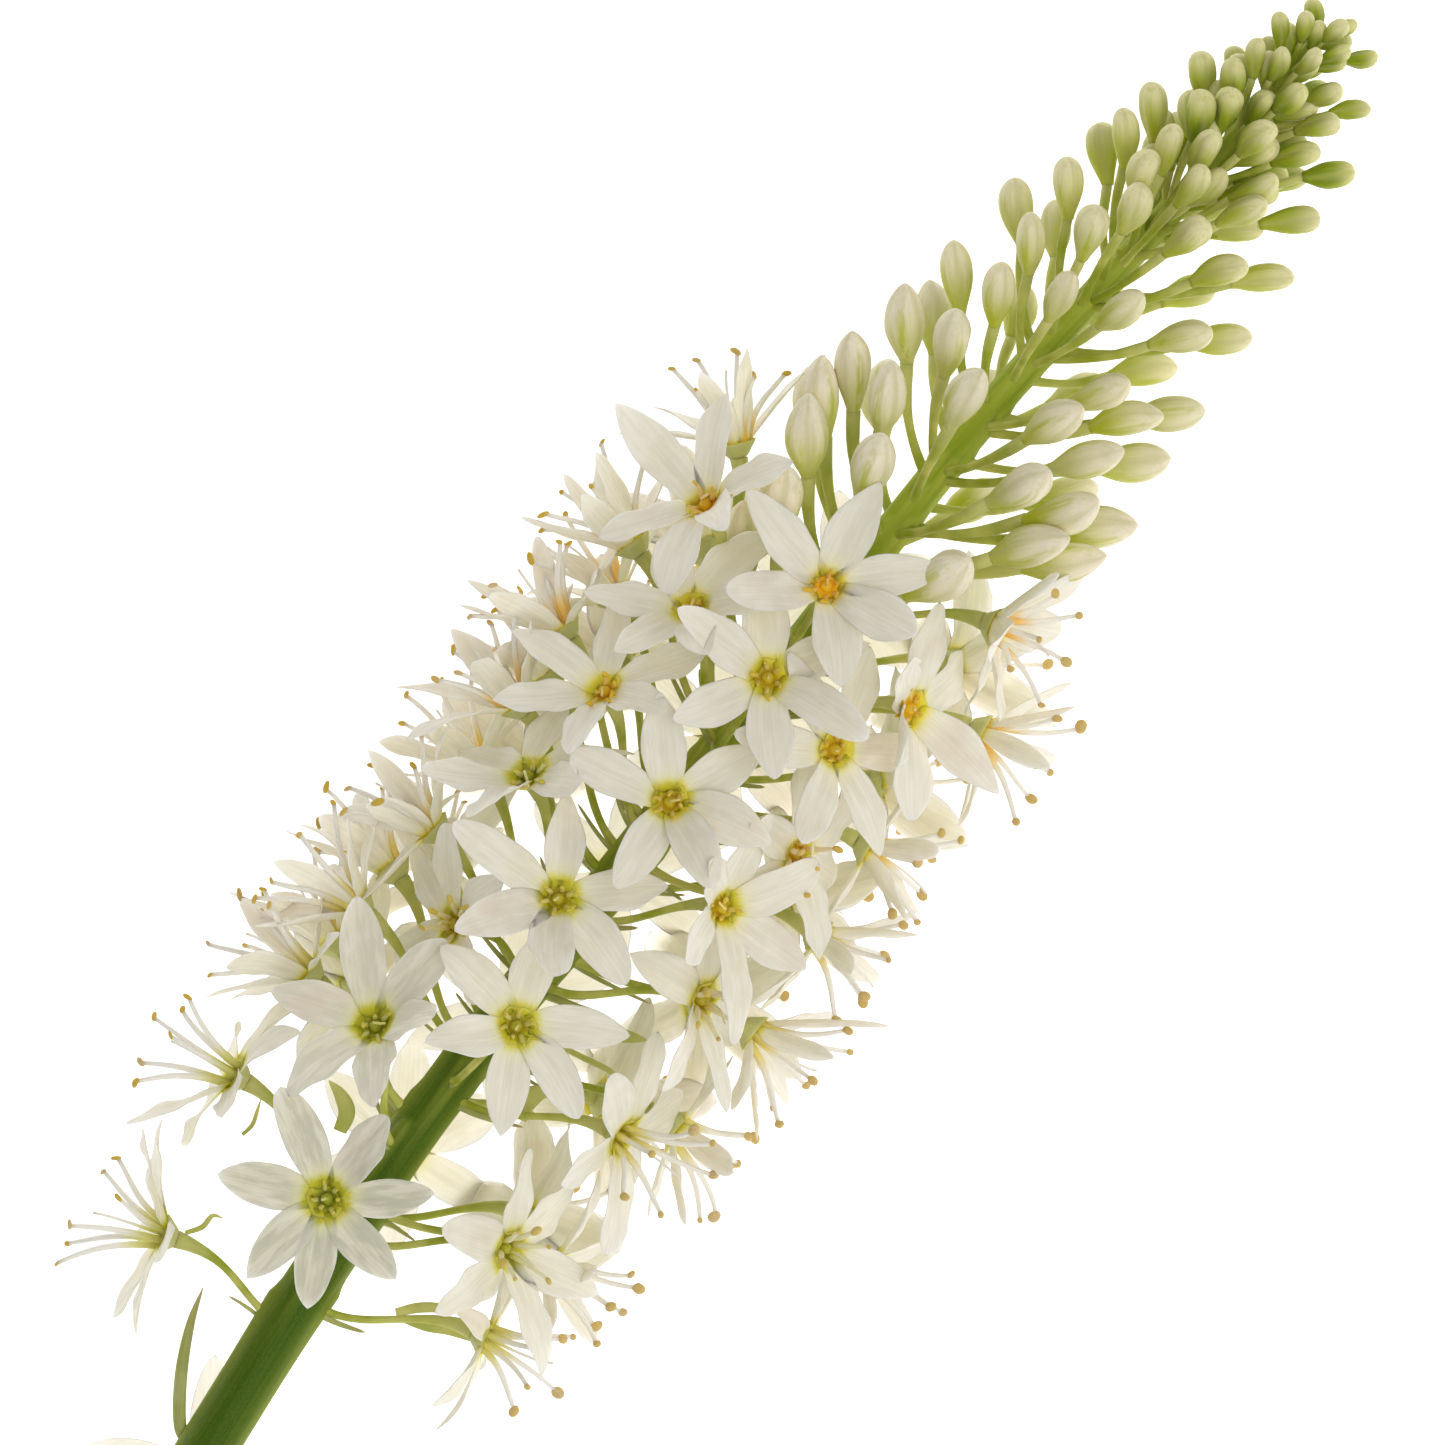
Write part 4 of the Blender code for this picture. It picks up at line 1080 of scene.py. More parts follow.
def leaf_shape(pixels, half_width, height, material, pale=0.0):
    """A narrow leaf: a keeled ribbon through its places in the view, its half width falling as
    (1 - t^3)^0.7 to the tip. Where it is pale, its finish starts that far along."""
    along, off = np.array([seen_at(x, y) for x, y in pixels]).T
    knots = axis_points(along) + off[:, None] * outward(math.pi / 2) + height * MM * Z_AXIS
    times = np.linspace(0, 1, LEAF_GRID[0])
    spaced = np.linspace(0, 1, len(knots))
    path = [through(np.stack((spaced, part), axis=1), times) for part in knots.T]
    path = np.stack(path, axis=1)[None]
    taper = (1 - times**3) ** 0.7 * (0.75 + 0.25 * np.sin(math.pi * times))
    radii = np.maximum(half_width * MM * taper, 0.06 * MM)[None]
    along = pale + (1 - pale) * shares_along(path)
    form = (LEAF_GRID[1], material, LEAF_GRAIN, LEAF_FLATNESS, Z_AXIS)
    return shoots(path, radii, *form, along=along, tone=0.4)


def bud_shape(chosen, material):
    """Buds: the radius grows as a sine to the widest ring and falls as (1 - u^a)^b to the tip,
    which is blunt in a young bud and more pointed in a ripe one. Three outer petals swell as
    cos 3a, and their seams dip by e^-((1 + cos 3a)/0.22)^2, both deeper in a young bud."""
    rows, sides = BUD_GRID
    chance = np.random.default_rng(SEED)
    even = np.linspace(0, 1, rows - 1)
    t = np.concatenate(((0,), 0.4 * even + 0.6 * np.sin(0.5 * math.pi * even)))
    filled = np.concatenate(((0,), np.ones(rows - 1)))
    total = len(ALL_BUDS.turn)
    widest = chance.uniform(*BUD_WIDEST, (total, 1))[chosen]
    slim = chance.uniform(*BUD_SLIMNESS, (total, 1))[chosen]
    start_turn = chance.uniform(0, FULL_TURN, (total, 1, 1))[chosen]
    bend = 4 * chance.uniform(-BUD_BEND, BUD_BEND, (total, 2))[chosen][:, :, None, None]
    tone = chance.uniform(0, 1, (total, 1, 1))[chosen]
    young = eased(ALL_BUDS.along[chosen] / MM, *BUD_RIPE)[:, None]
    start = 0.3 + 0.1 * young
    grow = start + (1 - start) * np.sin(0.5 * math.pi * np.clip(t / widest, 0, 1)) ** 1.3
    beyond = np.clip((t - widest) / (1 - widest), 0, 1)
    fall = (1 - beyond ** (2 + 1.4 * young)) ** (0.76 - 0.22 * young)
    length = ALL_BUDS.length[chosen][:, None]
    widened = 1 + TIP_BUD_WIDENING * eased(ALL_BUDS.along[chosen], *TIP_WIDENING_ALONG)[:, None]
    radius = 0.5 * BUD_WIDTH * widened * length * slim * grow * fall * filled
    turn = round_turns(sides)
    petal = np.cos(3 * turn + start_turn + 0.6 * t[:, None])
    seam = np.exp(-(((1 + petal) / 0.22) ** 2))
    ridged = (0.035 * petal - 0.075 * seam) * (1 + 0.9 * young[..., None])
    swell = 1 + ridged * np.sin(math.pi * np.clip(t, 0.12, 0.97))[:, None]
    way = ALL_BUDS.way[chosen][:, None, None, :]
    side = unit(np.cross(way, X_AXIS))
    other = np.cross(way, side)
    ring = np.cos(turn)[:, None] * side + np.sin(turn)[:, None] * other
    foot = ALL_BUDS.foot[chosen][:, None, None, :]
    reach = (t * length)[..., None]
    lean = length[..., None, None] * (t * t - t)[:, None, None]
    middle = foot + reach[..., None] * way + lean * (bend[:, :1] * side + bend[:, 1:] * other)
    points = above_surface(middle + (radius[..., None] * swell)[..., None] * ring)
    return shape(
        points, material, along=t[:, None], rib=petal, seam=seam, tone=tone,
        ripe=1 - young[..., None], grain=round_grain(points, radius[..., None], reach),
    )


def bud_stalk_shape(material):
    """Every bud stalk: a tube along the curve through its root, its sag and the bud's foot."""
    times = np.linspace(0, 1, BUD_STALK_GRID[0])[:, None]
    root, foot = ALL_BUDS.root[:, None], ALL_BUDS.foot[:, None]
    pull = 2 * ALL_BUDS.middle[:, None] - 0.5 * (root + foot)
    paths = root * (1 - times) ** 2 + 2 * pull * times * (1 - times) + foot * times**2
    paths[:, -1] += 0.06 * ALL_BUDS.length[:, None] * ALL_BUDS.way
    base = 0.5 * BUD_WIDTH * BUD_STALK_END * ALL_BUDS.length[:, None]
    share = eased(times[:, 0], 0.45, 1)
    radii = ALL_BUDS.stalk_radius[:, None] * (1.25 - 0.35 * np.sin(math.pi * times[:, 0]))
    radii = radii * (1 - share) + base * share
    return shoots(paths, radii, BUD_STALK_GRID[1], material, BUD_STALK_GRAIN)


class Nodes:
    """A node tree with short ways to add and join its nodes."""

    def __init__(self, tree):
        self.tree = tree
        self.tree.nodes.clear()

    def add(self, kind, inputs=None, **settings):
        """A node with settings on it and its inputs joined or set."""
        node = self.tree.nodes.new(kind)
        for key, value in settings.items():
            setattr(node, key, value)
        for key, value in (inputs or {}).items():
            self.join(value, node.inputs[key])
        return node

    def join(self, value, socket):
        """Joins a node's output to a socket, or sets the socket to a value."""
        if isinstance(value, bpy.types.NodeSocket):
            self.tree.links.new(value, socket)
        else:
            socket.default_value = value

    def maths(self, kind, *values):
        """One sum, product or other step on numbers."""
        return self.add("ShaderNodeMath", dict(enumerate(values)), operation=kind).outputs[0]

    def times(self, one, other):
        """The product of two numbers."""
        return self.maths("MULTIPLY", one, other)

    def plus(self, one, other):
        """The sum of two numbers."""
        return self.maths("ADD", one, other)

    def less(self, one, other):
        """The first number less the second."""
        return self.maths("SUBTRACT", one, other)

    def ranged(self, value, low, high, start=0.0, end=1.0):
        """The value eased from start, at low, to end, at high."""
        inputs = {"Value": value, "From Min": low, "From Max": high, "To Min": start, "To Max": end}
        return self.add("ShaderNodeMapRange", inputs, interpolation_type="SMOOTHSTEP").outputs[0]


def effect(name, inputs, outputs):
    """An empty shader effect with named inputs and outputs, and the ends of its tree."""
    tree = bpy.data.node_groups.new(name, "ShaderNodeTree")
    nodes = Nodes(tree)
    for key, (kind, start) in inputs.items():
        socket = tree.interface.new_socket(key, in_out="INPUT", socket_type=kind)
        if start is not None:
            socket.default_value = start
    for key, kind in outputs.items():
        tree.interface.new_socket(key, in_out="OUTPUT", socket_type=kind)
    return nodes, nodes.add("NodeGroupInput").outputs, nodes.add("NodeGroupOutput").inputs


def own_places(nodes, size):
    """A pattern's places on the piece, and its scale for grains of a size in millimetres."""
    places = nodes.add("ShaderNodeTexCoord").outputs["Object"]
    return {"Vector": places, "Scale": nodes.maths("DIVIDE", 1 / MM, size)}


NUMBER = "NodeSocketFloat"
RELIEF = {"Mask": NUMBER, "Height": NUMBER}


def fine_veins():
    """Veins along a shoot or leaf: noise on the grain places, stretched along it and sharpened."""
    given = {
        "Grain": ("NodeSocketVector", None), "Across": (NUMBER, 3.0), "Along": (NUMBER, 0.12),
        "Sharpness": (NUMBER, 0.5),
    }
    nodes, given, out = effect("Fine veins", given, RELIEF)
    stretch = {0: given["Across"], 1: given["Along"], 2: given["Across"]}
    stretch = nodes.add("ShaderNodeCombineXYZ", stretch).outputs[0]
    places = {0: given["Grain"], 1: stretch}
    places = nodes.add("ShaderNodeVectorMath", places, operation="MULTIPLY").outputs[0]
    noise = {"Vector": places, "Scale": 1.0, "Detail": 3.0, "Roughness": 0.55}
    noise = nodes.add("ShaderNodeTexNoise", noise).outputs[0]
    low = nodes.less(0.48, nodes.times(given["Sharpness"], 0.28))
    nodes.join(nodes.ranged(noise, low, 0.68), out["Mask"])
    nodes.join(noise, out["Height"])
    return nodes.tree


def soft_mottling():
    """Slow changes of tone over the piece: noise on its own places, eased to a mask."""
    given = {"Size": (NUMBER, 4.0), "Softness": (NUMBER, 0.2)}
    nodes, given, out = effect("Soft mottling", given, {"Mask": NUMBER})
    noise = nodes.add("ShaderNodeTexNoise", {**own_places(nodes, given["Size"]), "Detail": 2.0})
    low, high = nodes.less(0.5, given["Softness"]), nodes.plus(0.5, given["Softness"])
    nodes.join(nodes.ranged(noise.outputs[0], low, high), out["Mask"])
    return nodes.tree


def fine_grains():
    """Small grains, as of pollen or the skin's cells: cells on the piece's own places."""
    nodes, given, out = effect("Fine grains", {"Size": (NUMBER, 0.2)}, RELIEF)
    cells = nodes.add("ShaderNodeTexVoronoi", own_places(nodes, given["Size"])).outputs["Distance"]
    nodes.join(nodes.ranged(cells, 0.15, 0.6), out["Mask"])
    nodes.join(nodes.less(1.0, cells), out["Height"])
    return nodes.tree


class Paint(Nodes):
    """The nodes of one finish: a Principled surface and the colour laid on it so far.

    Where a colour is asked for, a name stands for a colour of the lily."""

    def __init__(self, material, colours, effects):
        material.use_nodes = True
        super().__init__(material.node_tree)
        self.colours = colours
        self.effects = effects
        self.surface = self.add("ShaderNodeBsdfPrincipled")
        self.join(self.surface.outputs[0], self.add("ShaderNodeOutputMaterial").inputs[0])

    def value(self, name, field="Fac"):
        """A named value on the piece's points."""
        return self.add("ShaderNodeAttribute", attribute_name=name).outputs[field]

    def values(self, *names):
        """Several named values on the piece's points."""
        return [self.value(name) for name in names]

    def placed(self, name, **inputs):
        """The outputs of a shared effect with its own values."""
        node = self.add("ShaderNodeGroup", node_tree=self.effects[name])
        for key, value in inputs.items():
            self.join(value, node.inputs[key])
        return node.outputs

    def veins(self, across, along, sharpness):
        """The mask and the height of veins, with how many there are across and along."""
        grain = self.value("grain", "Vector")
        return self.placed("veins", Grain=grain, Across=across, Along=along, Sharpness=sharpness)

    def mottle(self, size, softness=0.2):
        """The mask of patches of a size in millimetres."""
        return self.placed("mottling", Size=size, Softness=softness)[0]

    def grains(self, size):
        """The mask and the height of grains of a size in millimetres."""
        return self.placed("grains", Size=size)

    def mix(self, share, one, other):
        """One colour mixed with another by a share."""
        node = self.add("ShaderNodeMix", data_type="RGBA", blend_type="MIX")
        self.join(share, node.inputs[0])
        for socket, colour in ((node.inputs[6], one), (node.inputs[7], other)):
            if isinstance(colour, str):
                colour = (*getattr(self.colours, colour), 1)
            self.join(colour, socket)
        return node.outputs[2]

    def lay(self, share, one, other):
        """The first colour of the surface: one mixed with another by a share."""
        self.colour = self.mix(share, one, other)

    def over(self, share, colour):
        """Lays a colour over the colour so far by a share."""
        self.colour = self.mix(share, self.colour, colour)

    def finish(self, roughness, height, depth, strength=0.6):
        """Joins the colour, the roughness and a relief of a depth in millimetres to the surface."""
        relief = {"Height": height, "Strength": strength, "Distance": depth * MM}
        relief = self.add("ShaderNodeBump", relief).outputs[0]
        self.join(self.colour, self.surface.inputs["Base Color"])
        self.join(roughness, self.surface.inputs["Roughness"])
        self.join(relief, self.surface.inputs["Normal"])

    def soft(self, share, depth, specular=0.2):
        """Lets light into the surface, to a depth in millimetres: constants on its own sockets."""
        self.surface.inputs["Subsurface Weight"].default_value = share
        self.surface.inputs["Subsurface Radius"].default_value = (1.0, 0.97, 0.93)
        self.surface.inputs["Subsurface Scale"].default_value = depth * MM
        self.surface.inputs["Specular IOR Level"].default_value = specular


class Finishes:
    """The finishes of the lily, each made when it is first asked for."""

    def __init__(self, colours):
        self.colours = colours
        self.effects = {"veins": fine_veins(), "mottling": soft_mottling(), "grains": fine_grains()}
        self.made = {}

    def __getitem__(self, name):
        if name not in self.made:
            self.made[name] = bpy.data.materials.new("lily_" + name)
            getattr(self, name)(Paint(self.made[name], self.colours, self.effects))
        return self.made[name]

    def petal(self, paint):
        """White petals: streaks of painted shade where they are thin, stronger in an older flower,
        whose petals painted shade also greys all over, fine veins, a grey-green middle rib, and a
        flush near the heart from green to gold."""
        along, gold, tone, rib = paint.values("along", "gold", "tone", "rib")
        lines, veins = paint.veins(2.6, 0.1, 0.4)
        thin = paint.ranged(paint.veins(0.75, 0.13, 0.1)[1], 0.36, 0.62)
        mottle = paint.mottle(5.0, 0.22)
        shade = paint.times(mottle, paint.ranged(tone, 0, 1, 0.35, 1))
        paint.lay(shade, "petal_white", "petal_shade")
        # Painted shade: petal_painted_shade darkens the thin streaks a little on every petal. In
        # the oldest flowers it darkens them more and greys the whole petal as well.
        painted_shade = paint.times(paint.ranged(gold, 0.12, 0, 0.22, 0.6), thin)
        paint.over(paint.plus(painted_shade, paint.ranged(gold, 0.12, 0, 0, 0.42)), "petal_painted_shade")
        paint.over(paint.times(paint.ranged(tone, 0.82, 1, 0, 0.55), mottle), "petal_blush")
        paint.over(paint.times(lines, 0.14), "petal_vein")
        middle = paint.times(paint.ranged(rib, 0, 0.34, 1, 0), paint.ranged(along, 0.9, 0.3))
        paint.over(paint.times(middle, paint.ranged(veins, 0.25, 0.6, 0.15, 0.5)), "petal_vein")
        ragged = paint.plus(paint.times(veins, 0.1), paint.times(gold, 0.05))
        reach = paint.plus(along, ragged)
        tint = paint.mix(gold, "flush_green", "flush_gold")
        paint.over(paint.times(paint.ranged(reach, 0.46, 0.26), 0.65), tint)
        heart = paint.mix(gold, "heart_green", "heart_gold")
        paint.over(paint.ranged(reach, 0.335, 0.23), heart)
        paint.finish(paint.ranged(veins, 0.2, 0.8, 0.52, 0.7), veins, 0.09)
        paint.soft(0.65, 0.9)

    def cup(self, paint):
        """The cup under the petals: pale green outside, deep green or gold inside."""
        inside, gold, along = paint.values("inside", "gold", "along")
        patches = paint.ranged(paint.mottle(1.2, 0.25), 0, 1, 0.35, 0.7)
        outer = paint.mix(patches, "stalk_green", "cup_pale")
        heart = paint.mix(gold, "heart_green", "heart_gold")
        deep = paint.mix(gold, "heart_deep", "heart_amber")
        paint.lay(inside, outer, paint.mix(paint.ranged(along, 0.85, 0.35), heart, deep))
        paint.finish(0.5, paint.grains(0.35)[1], 0.08)
        paint.soft(0.15, 0.6)

    def filament(self, paint):
        """The threads: white, tinted green or gold at the foot or where they stay in the heart, and
        faintly tan at the tip."""
        along, gold, front = paint.values("along", "gold", "front")
        lines, veins = paint.veins(4.0, 0.3, 0.3)
        foot = paint.mix(gold, "filament_green", "filament_gold")
        reach = paint.less(along, paint.times(gold, 0.06))
        tinted = paint.maths("MAXIMUM", paint.ranged(reach, 0.42, 0.12), front)
        paint.lay(paint.times(tinted, 0.85), "filament_white", foot)
        paint.over(paint.ranged(along, 0.88, 1, 0, 0.4), "anther_tan")
        paint.over(paint.times(lines, 0.2), "petal_vein")
        paint.finish(0.45, veins, 0.05)
        paint.soft(0.3, 0.6)

    def anther(self, paint):
        """The anthers: ochre to tan, orange in fresh flowers, dusted with grains of pollen."""
        tone, gold, side, front = paint.values("tone", "gold", "side", "front")
        dry = paint.mix(paint.ranged(tone, 0.55, 1), "anther_ochre", "anther_tan")
        dry = paint.mix(paint.times(side, 0.55), dry, "anther_tan")
        fresh = paint.mix(paint.ranged(gold, 0.15, 0.8), "anther_lemon", "anther_orange")
        grains, relief = paint.grains(0.22)
        paint.lay(front, dry, fresh)
        paint.over(paint.times(grains, 0.3), "anther_grain")
        paint.over(paint.times(paint.mottle(0.8, 0.15), 0.3), "anther_dust")
        paint.finish(0.75, relief, 0.1, 0.8)
        paint.soft(0.05, 0.3, 0.25)

    def ovary(self, paint):
        """The ovary: a smooth green berry in the heart, more yellow in fresh flowers."""
        gold = paint.value("gold")
        lines, veins = paint.veins(1.6, 0.5, 0.3)
        paint.lay(gold, "ovary_green", "ovary_gold")
        paint.over(paint.times(lines, 0.5), paint.mix(gold, "heart_deep", "heart_amber"))
        paint.finish(0.35, veins, 0.06)
        paint.soft(0.1, 0.6, 0.5)

    def stem(self, paint):
        """The stem: deep green at the foot and fresh green above, with pale ribs, fine lines and
        pale streaks of painted rim light along its sides as seen from above.
        """
        along, cut, ridge, flank = paint.values("along", "cut", "ridge", "flank")
        lines, veins = paint.veins(2.2, 0.05, 0.5)
        dark, streaks = paint.veins(0.7, 0.03, 0.1)
        grains = paint.grains(0.3)[0]
        paint.lay(along, "stem_low", "stem_high")
        pale = paint.times(paint.ranged(ridge, 0.1, 0.7), paint.ranged(along, 0, 1, 0.25, 0.65))
        # Painted rim light: pale streaks along the stem's sides as seen from above.
        beside = paint.times(flank, paint.ranged(streaks, 0.3, 0.7, 0.3, 0.6))
        paint.over(paint.maths("MAXIMUM", pale, beside), "stem_pale")
        paint.over(paint.times(lines, 0.06), "stem_pale")
        paint.over(paint.times(dark, 0.35), "stem_low")
        paint.over(paint.times(grains, 0.05), "stem_pale")
        paint.over(cut, paint.mix(grains, "pith_pale", "pith_green"))
        paint.finish(paint.ranged(veins, 0.2, 0.8, 0.45, 0.6), veins, 0.25)
        paint.soft(0.05, 1.0, 0.1)
        paint.surface.inputs["Sheen Weight"].default_value = 0.02
        paint.surface.inputs["Sheen Roughness"].default_value = 0.4

    def stalk(self, paint):
        """Flower and bud stalks: fresh green with a few pale lines, paler under the flower."""
        lines, veins = paint.veins(2.0, 0.08, 0.4)
        paint.lay(paint.mottle(6.0), "stalk_green", "stalk_deep")
        paint.over(paint.times(lines, 0.22), "stem_pale")
        paint.over(paint.ranged(paint.value("along"), 0.7, 1, 0, 0.55), "stalk_pale")
        paint.finish(0.45, veins, 0.12)
        paint.soft(0.2, 0.8, 0.15)

    def bud(self, paint):
        """Buds: cream with broad streaks of painted shade where they are ready, green at the foot
        and along the ribs, and green all over when young, with a pale end."""
        along, ripe, tone, rib, seam = paint.values("along", "ripe", "tone", "rib", "seam")
        lines, veins = paint.veins(1.7, 0.09, 0.2)
        paint.lay(paint.mottle(7.0), "bud_cream", "bud_shade")
        broad = paint.veins(0.6, 0.1, 0.1)[1]
        # Painted shade: broad streaks that stand for the soft shading of the bud's facets.
        paint.over(paint.ranged(broad, 0.4, 0.64, 0, 0.3), "bud_painted_shade")
        base = paint.plus(along, paint.times(veins, 0.5))
        foot = paint.times(paint.ranged(base, 1, 0.42), paint.ranged(tone, 0, 1, 0.55, 1))
        paint.over(foot, "bud_green")
        streak = paint.times(paint.ranged(rib, 0.45, 0.95), paint.ranged(along, 1, 0.5))
        streak = paint.times(streak, paint.ranged(veins, 0.3, 0.62))
        paint.over(paint.times(streak, 0.8), "bud_green")
        young = paint.times(paint.less(1.0, ripe), paint.ranged(tone, 0, 1, 0.8, 1))
        tender = paint.mix(paint.ranged(veins, 0.35, 0.65), "bud_tender", "bud_green")
        paint.over(young, paint.mix(paint.ranged(along, 0.45, 0.95, 0, 0.75), tender, "bud_end"))
        newest = paint.ranged(young, 0.66, 0.98, 0, 0.85)
        paint.over(paint.times(newest, paint.ranged(base, 1.3, 0.6)), "bud_newest")
        paint.over(paint.times(seam, 0.4), "bud_seam")
        line = paint.times(lines, paint.ranged(young, 0.4, 0.95, 0.14, 0.36))
        paint.over(line, "bud_green")
        paint.finish(0.48, veins, 0.16)
        paint.soft(0.16, 1.0)

    def leaf(self, paint):
        """Bracts and the low leaf: olive, with fine lines and a dry brown tip."""
        along, tone = paint.values("along", "tone")
        lines, veins = paint.veins(3.0, 0.08, 0.5)
        paint.lay(paint.mottle(5.0), "leaf_olive", "leaf_light")
        dry = paint.times(paint.ranged(along, 0.55, 1), paint.ranged(tone, 0, 1, 0.3, 1))
        paint.over(dry, "leaf_dry")
        paint.over(paint.times(lines, 0.3), "stem_pale")
        paint.finish(0.55, veins, 0.12)
        paint.soft(0.15, 0.6)


FINISHES = {}


def finishes(context):
    """The lily's finishes, made once for the scene."""
    if "made" not in FINISHES:
        FINISHES["made"] = Finishes(context.scene.lily_colours)
    return FINISHES["made"]


class LILY_OT_petals(bpy.types.Operator):
    """Makes every flower's petals and the cup that carries them"""

    bl_idname = "lily.petals"
    bl_label = "Petals"

    def execute(self, context):
        sizes, made = context.scene.lily_sizes, finishes(context)
        for flower in ALL_FLOWERS:
            shapes = [petal_shape(flower, sizes, made["petal"]), cup_shape(flower, made["cup"])]
            piece(f"{flower.name}_petals", shapes, [flower.name])
        return {"FINISHED"}


class LILY_OT_stamens(bpy.types.Operator):
    """Makes every flower's stamens, ovary and style, except where a flower is pressed flat"""

    bl_idname = "lily.stamens"
    bl_label = "Stamens"

    def execute(self, context):
        sizes, made = context.scene.lily_sizes, finishes(context)
        for flower in ALL_FLOWERS:
            if not flower.pressed:
                shapes = stamen_shapes(flower, sizes, made)
                piece(f"{flower.name}_stamens", shapes, [flower.name])
        return {"FINISHED"}


class LILY_OT_stem(bpy.types.Operator):
    """Makes the stem with its ribs, its ridges under the stalks and its cut"""

    bl_idname = "lily.stem"
    bl_label = "Stem"

    def execute(self, context):
        made = finishes(context)
        piece("stem_axis", [stem_shape(context.scene.lily_sizes, made["stem"])], ["stem"])
        return {"FINISHED"}


class LILY_OT_stalks(bpy.types.Operator):
    """Makes the flower stalks and the bud stalks"""

    bl_idname = "lily.stalks"
    bl_label = "Stalks"

    def execute(self, context):
        made = finishes(context)
        piece("flower_stalks", [stalk_shape(made["stalk"])], ["stem"])
        piece("bud_stalks", [bud_stalk_shape(made["stalk"])], ["stem"])
        return {"FINISHED"}


class LILY_OT_leaves(bpy.types.Operator):
    """Makes the bracts beside the flower stalks and the narrow leaf low on the stem"""

    bl_idname = "lily.leaves"
    bl_label = "Leaves"

    def execute(self, context):
        made = finishes(context)
        small = [leaf_shape(*leaf, made["stalk"], SMALL_LEAF_PALENESS) for leaf in SMALL_LEAVES]
        bracts = bract_shape(context.scene.lily_sizes, made["leaf"])
        piece("bracts", [bracts, *small], ["stem"])
        low_leaf = leaf_shape(LOW_LEAF, LOW_LEAF_HALF_WIDTH, 0, made["leaf"])
        piece("low_leaf", [low_leaf], ["stem"])
        return {"FINISHED"}


class LILY_OT_buds(bpy.types.Operator):
    """Makes the buds in three groups, from the largest to the tip's smallest"""

    bl_idname = "lily.buds"
    bl_label = "Buds"

    def execute(self, context):
        made = finishes(context)
        for name, low, high in BUD_GROUPS:
            station = ALL_BUDS.along / MM
            chosen = np.flatnonzero((station >= low) & (station < high))
            piece(name, [bud_shape(chosen, made["bud"])], ["stem"])
        return {"FINISHED"}


def turned_to(side, up, back, place):
    """The matrix that stands an object at a place with its own axes along three ways."""
    matrix = np.eye(4)
    matrix[:3] = np.column_stack((side, up, back, place))
    return Matrix(matrix.tolist())


def stand(name, data, place, collection):
    """Stands a light at a place, turned to the middle of the spike and itself out of sight."""
    made = bpy.data.objects.new(name, data)
    collection.objects.link(made)
    back = unit(np.array(place) - np.array((0, 0, AXIS_HEIGHT)))
    side = unit(np.cross(X_AXIS + 0.01, back))
    made.matrix_world = turned_to(side, np.cross(back, side), back, place)
    made.visible_camera = False


def view_from_above(collection):
    """The camera, which looks straight down on the spike."""
    data = bpy.data.cameras.new("view_from_above")
    data.lens = CAMERA_LENS
    data.sensor_width = CAMERA_SENSOR
    camera = bpy.data.objects.new("view_from_above", data)
    collection.objects.link(camera)
    x, y = unit(HEAD - FOOT)
    camera.matrix_world = turned_to((x, y, 0), (-y, x, 0), Z_AXIS, VIEWPOINT)
    return camera


def pale_floor(glow):
    """The floor: a wide flat square that shines a little by itself."""
    mesh = bpy.data.meshes.new("floor")
    corners = [(x * FLOOR_HALF, y * FLOOR_HALF, 0) for x, y in ((-1, -1), (1, -1), (1, 1), (-1, 1))]
    mesh.from_pydata(corners, [], [(0, 1, 2, 3)])
    pale = bpy.data.materials.new("pale_floor")
    pale.use_nodes = True
    surface = pale.node_tree.nodes["Principled BSDF"]
    surface.inputs["Base Color"].default_value = FLOOR_COLOUR
    surface.inputs["Roughness"].default_value = 0.9
    surface.inputs["Specular IOR Level"].default_value = 0.1
    surface.inputs["Emission Color"].default_value = WHITE
    surface.inputs["Emission Strength"].default_value = glow
    mesh.materials.append(pale)
    return bpy.data.objects.new("floor", mesh)


def white_room(strength):
    """Even white light from all sides."""
    world = bpy.data.worlds.new("white_room")
    world.use_nodes = True
    background = world.node_tree.nodes["Background"]
    background.inputs["Color"].default_value = WHITE
    background.inputs["Strength"].default_value = strength
    return world


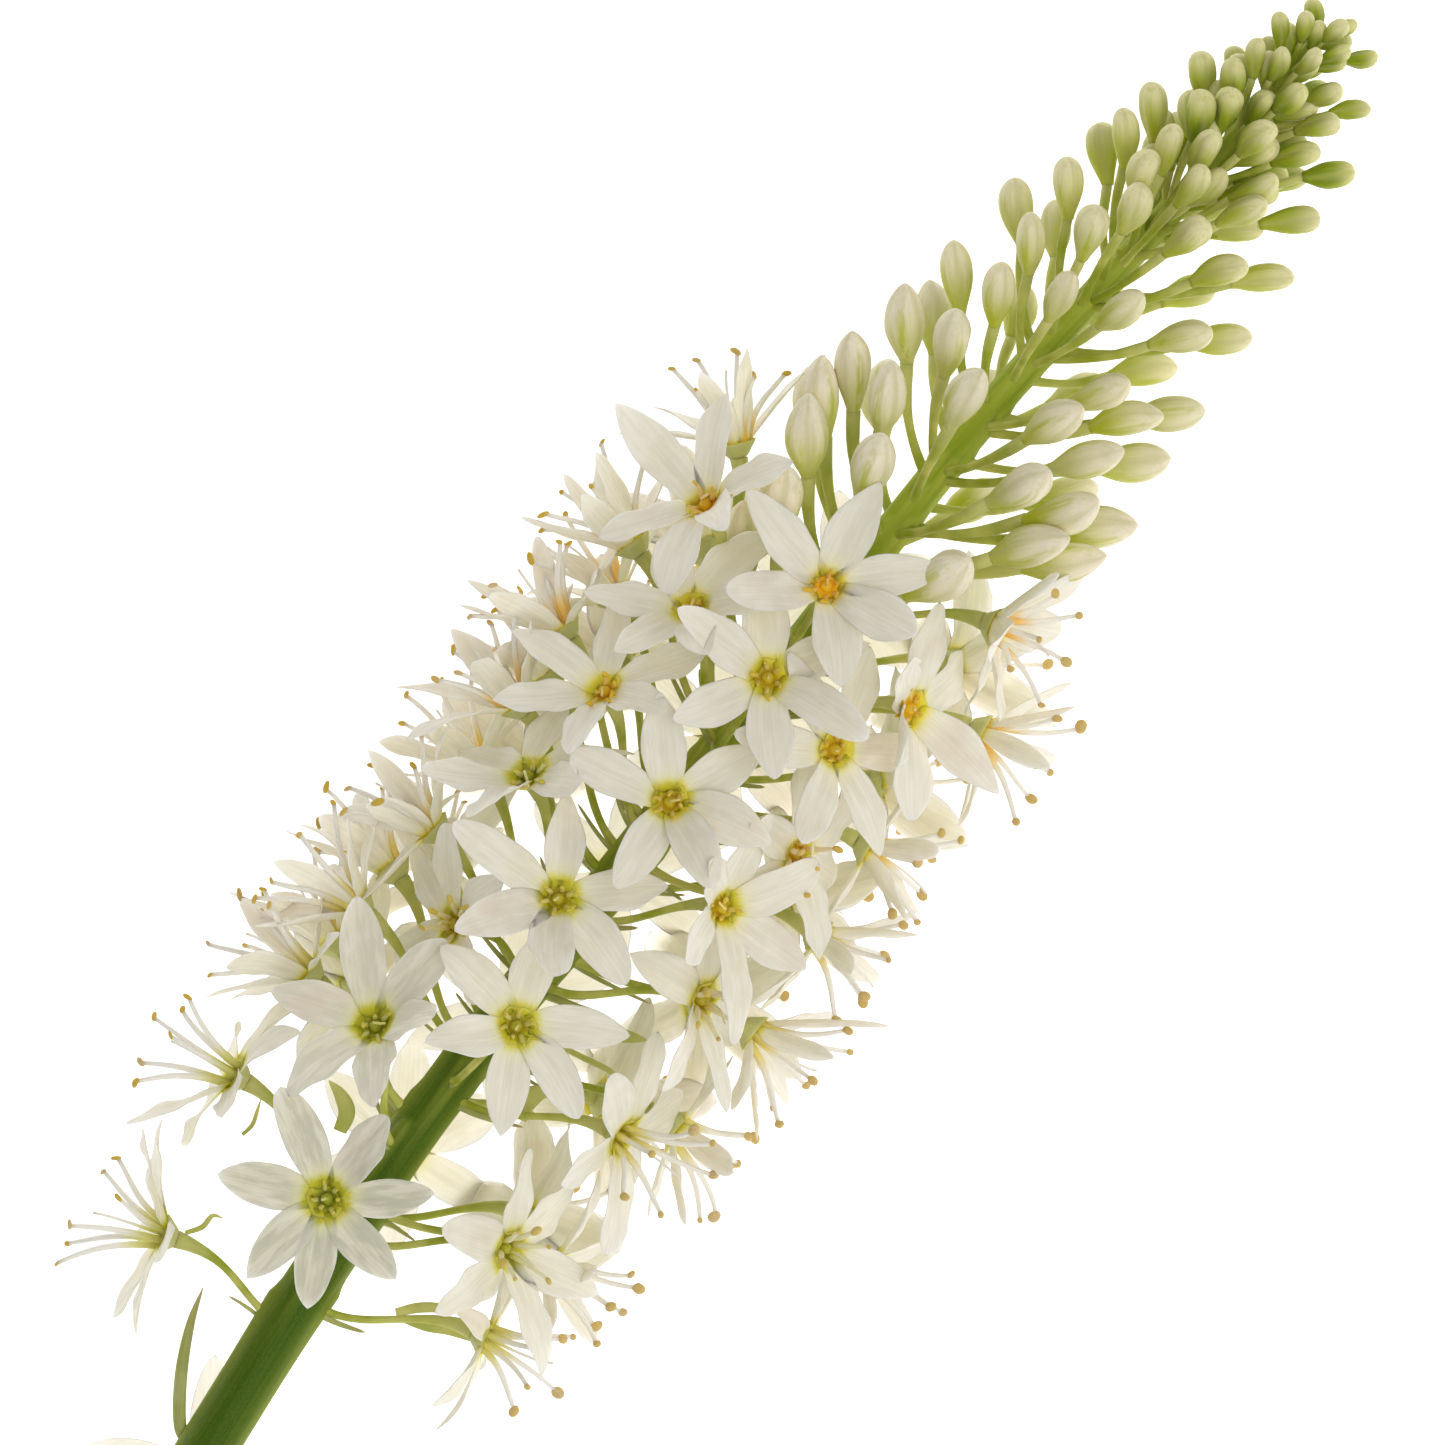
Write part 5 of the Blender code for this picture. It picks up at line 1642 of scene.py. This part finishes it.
class LILY_OT_stage(bpy.types.Operator):
    """Makes the camera, the pale floor and the soft light"""

    bl_idname = "lily.stage"
    bl_label = "Stage"

    def execute(self, context):
        scene, stage = context.scene, context.scene.lily_stage
        scene.camera = view_from_above(scene.collection)
        scene.view_settings.view_transform = "Standard"
        floor = pale_floor(stage.floor_glow)
        scene.collection.objects.link(floor)
        scene.world = white_room(stage.sky)
        key = bpy.data.lights.new("key_light", "SUN")
        key.energy = stage.key_strength
        key.angle = KEY_ANGLE
        stand("key_light", key, KEY_PLACE, scene.collection)
        for name, place in LAMP_PLACES:
            lamp = bpy.data.lights.new(name, "AREA")
            lamp.size = LAMP_SIZE
            lamp.energy = stage.side_power
            stand(name, lamp, place, scene.collection)
        return {"FINISHED"}


OPERATORS = (
    LILY_OT_petals, LILY_OT_stamens, LILY_OT_stem, LILY_OT_stalks, LILY_OT_leaves, LILY_OT_buds,
    LILY_OT_stage,
)


class LILY_PT_panel(bpy.types.Panel):
    """The lily's pieces, one button for each"""

    bl_idname = "LILY_PT_panel"
    bl_label = "Foxtail lily"
    bl_space_type = "VIEW_3D"
    bl_region_type = "UI"
    bl_category = "Foxtail lily"

    def draw(self, context):
        for operator in OPERATORS:
            self.layout.operator(operator.bl_idname)
        for name in GROUPS:
            group = getattr(context.scene, name)
            for key in group.__annotations__:
                self.layout.prop(group, key)


GROUPS = {"lily_sizes": LilySizes, "lily_colours": LilyColours, "lily_stage": LilyStage}
CLASSES = (*GROUPS.values(), *OPERATORS, LILY_PT_panel)


def register():
    for made in CLASSES:
        bpy.utils.register_class(made)
    for name, group in GROUPS.items():
        setattr(bpy.types.Scene, name, PointerProperty(type=group))


def unregister():
    for name in GROUPS:
        delattr(bpy.types.Scene, name)
    for made in reversed(CLASSES):
        bpy.utils.unregister_class(made)


def main():
    register()
    bpy.ops.lily.petals()
    bpy.ops.lily.stamens()
    bpy.ops.lily.stem()
    bpy.ops.lily.stalks()
    bpy.ops.lily.leaves()
    bpy.ops.lily.buds()
    bpy.ops.lily.stage()


if __name__ == "__main__":
    main()
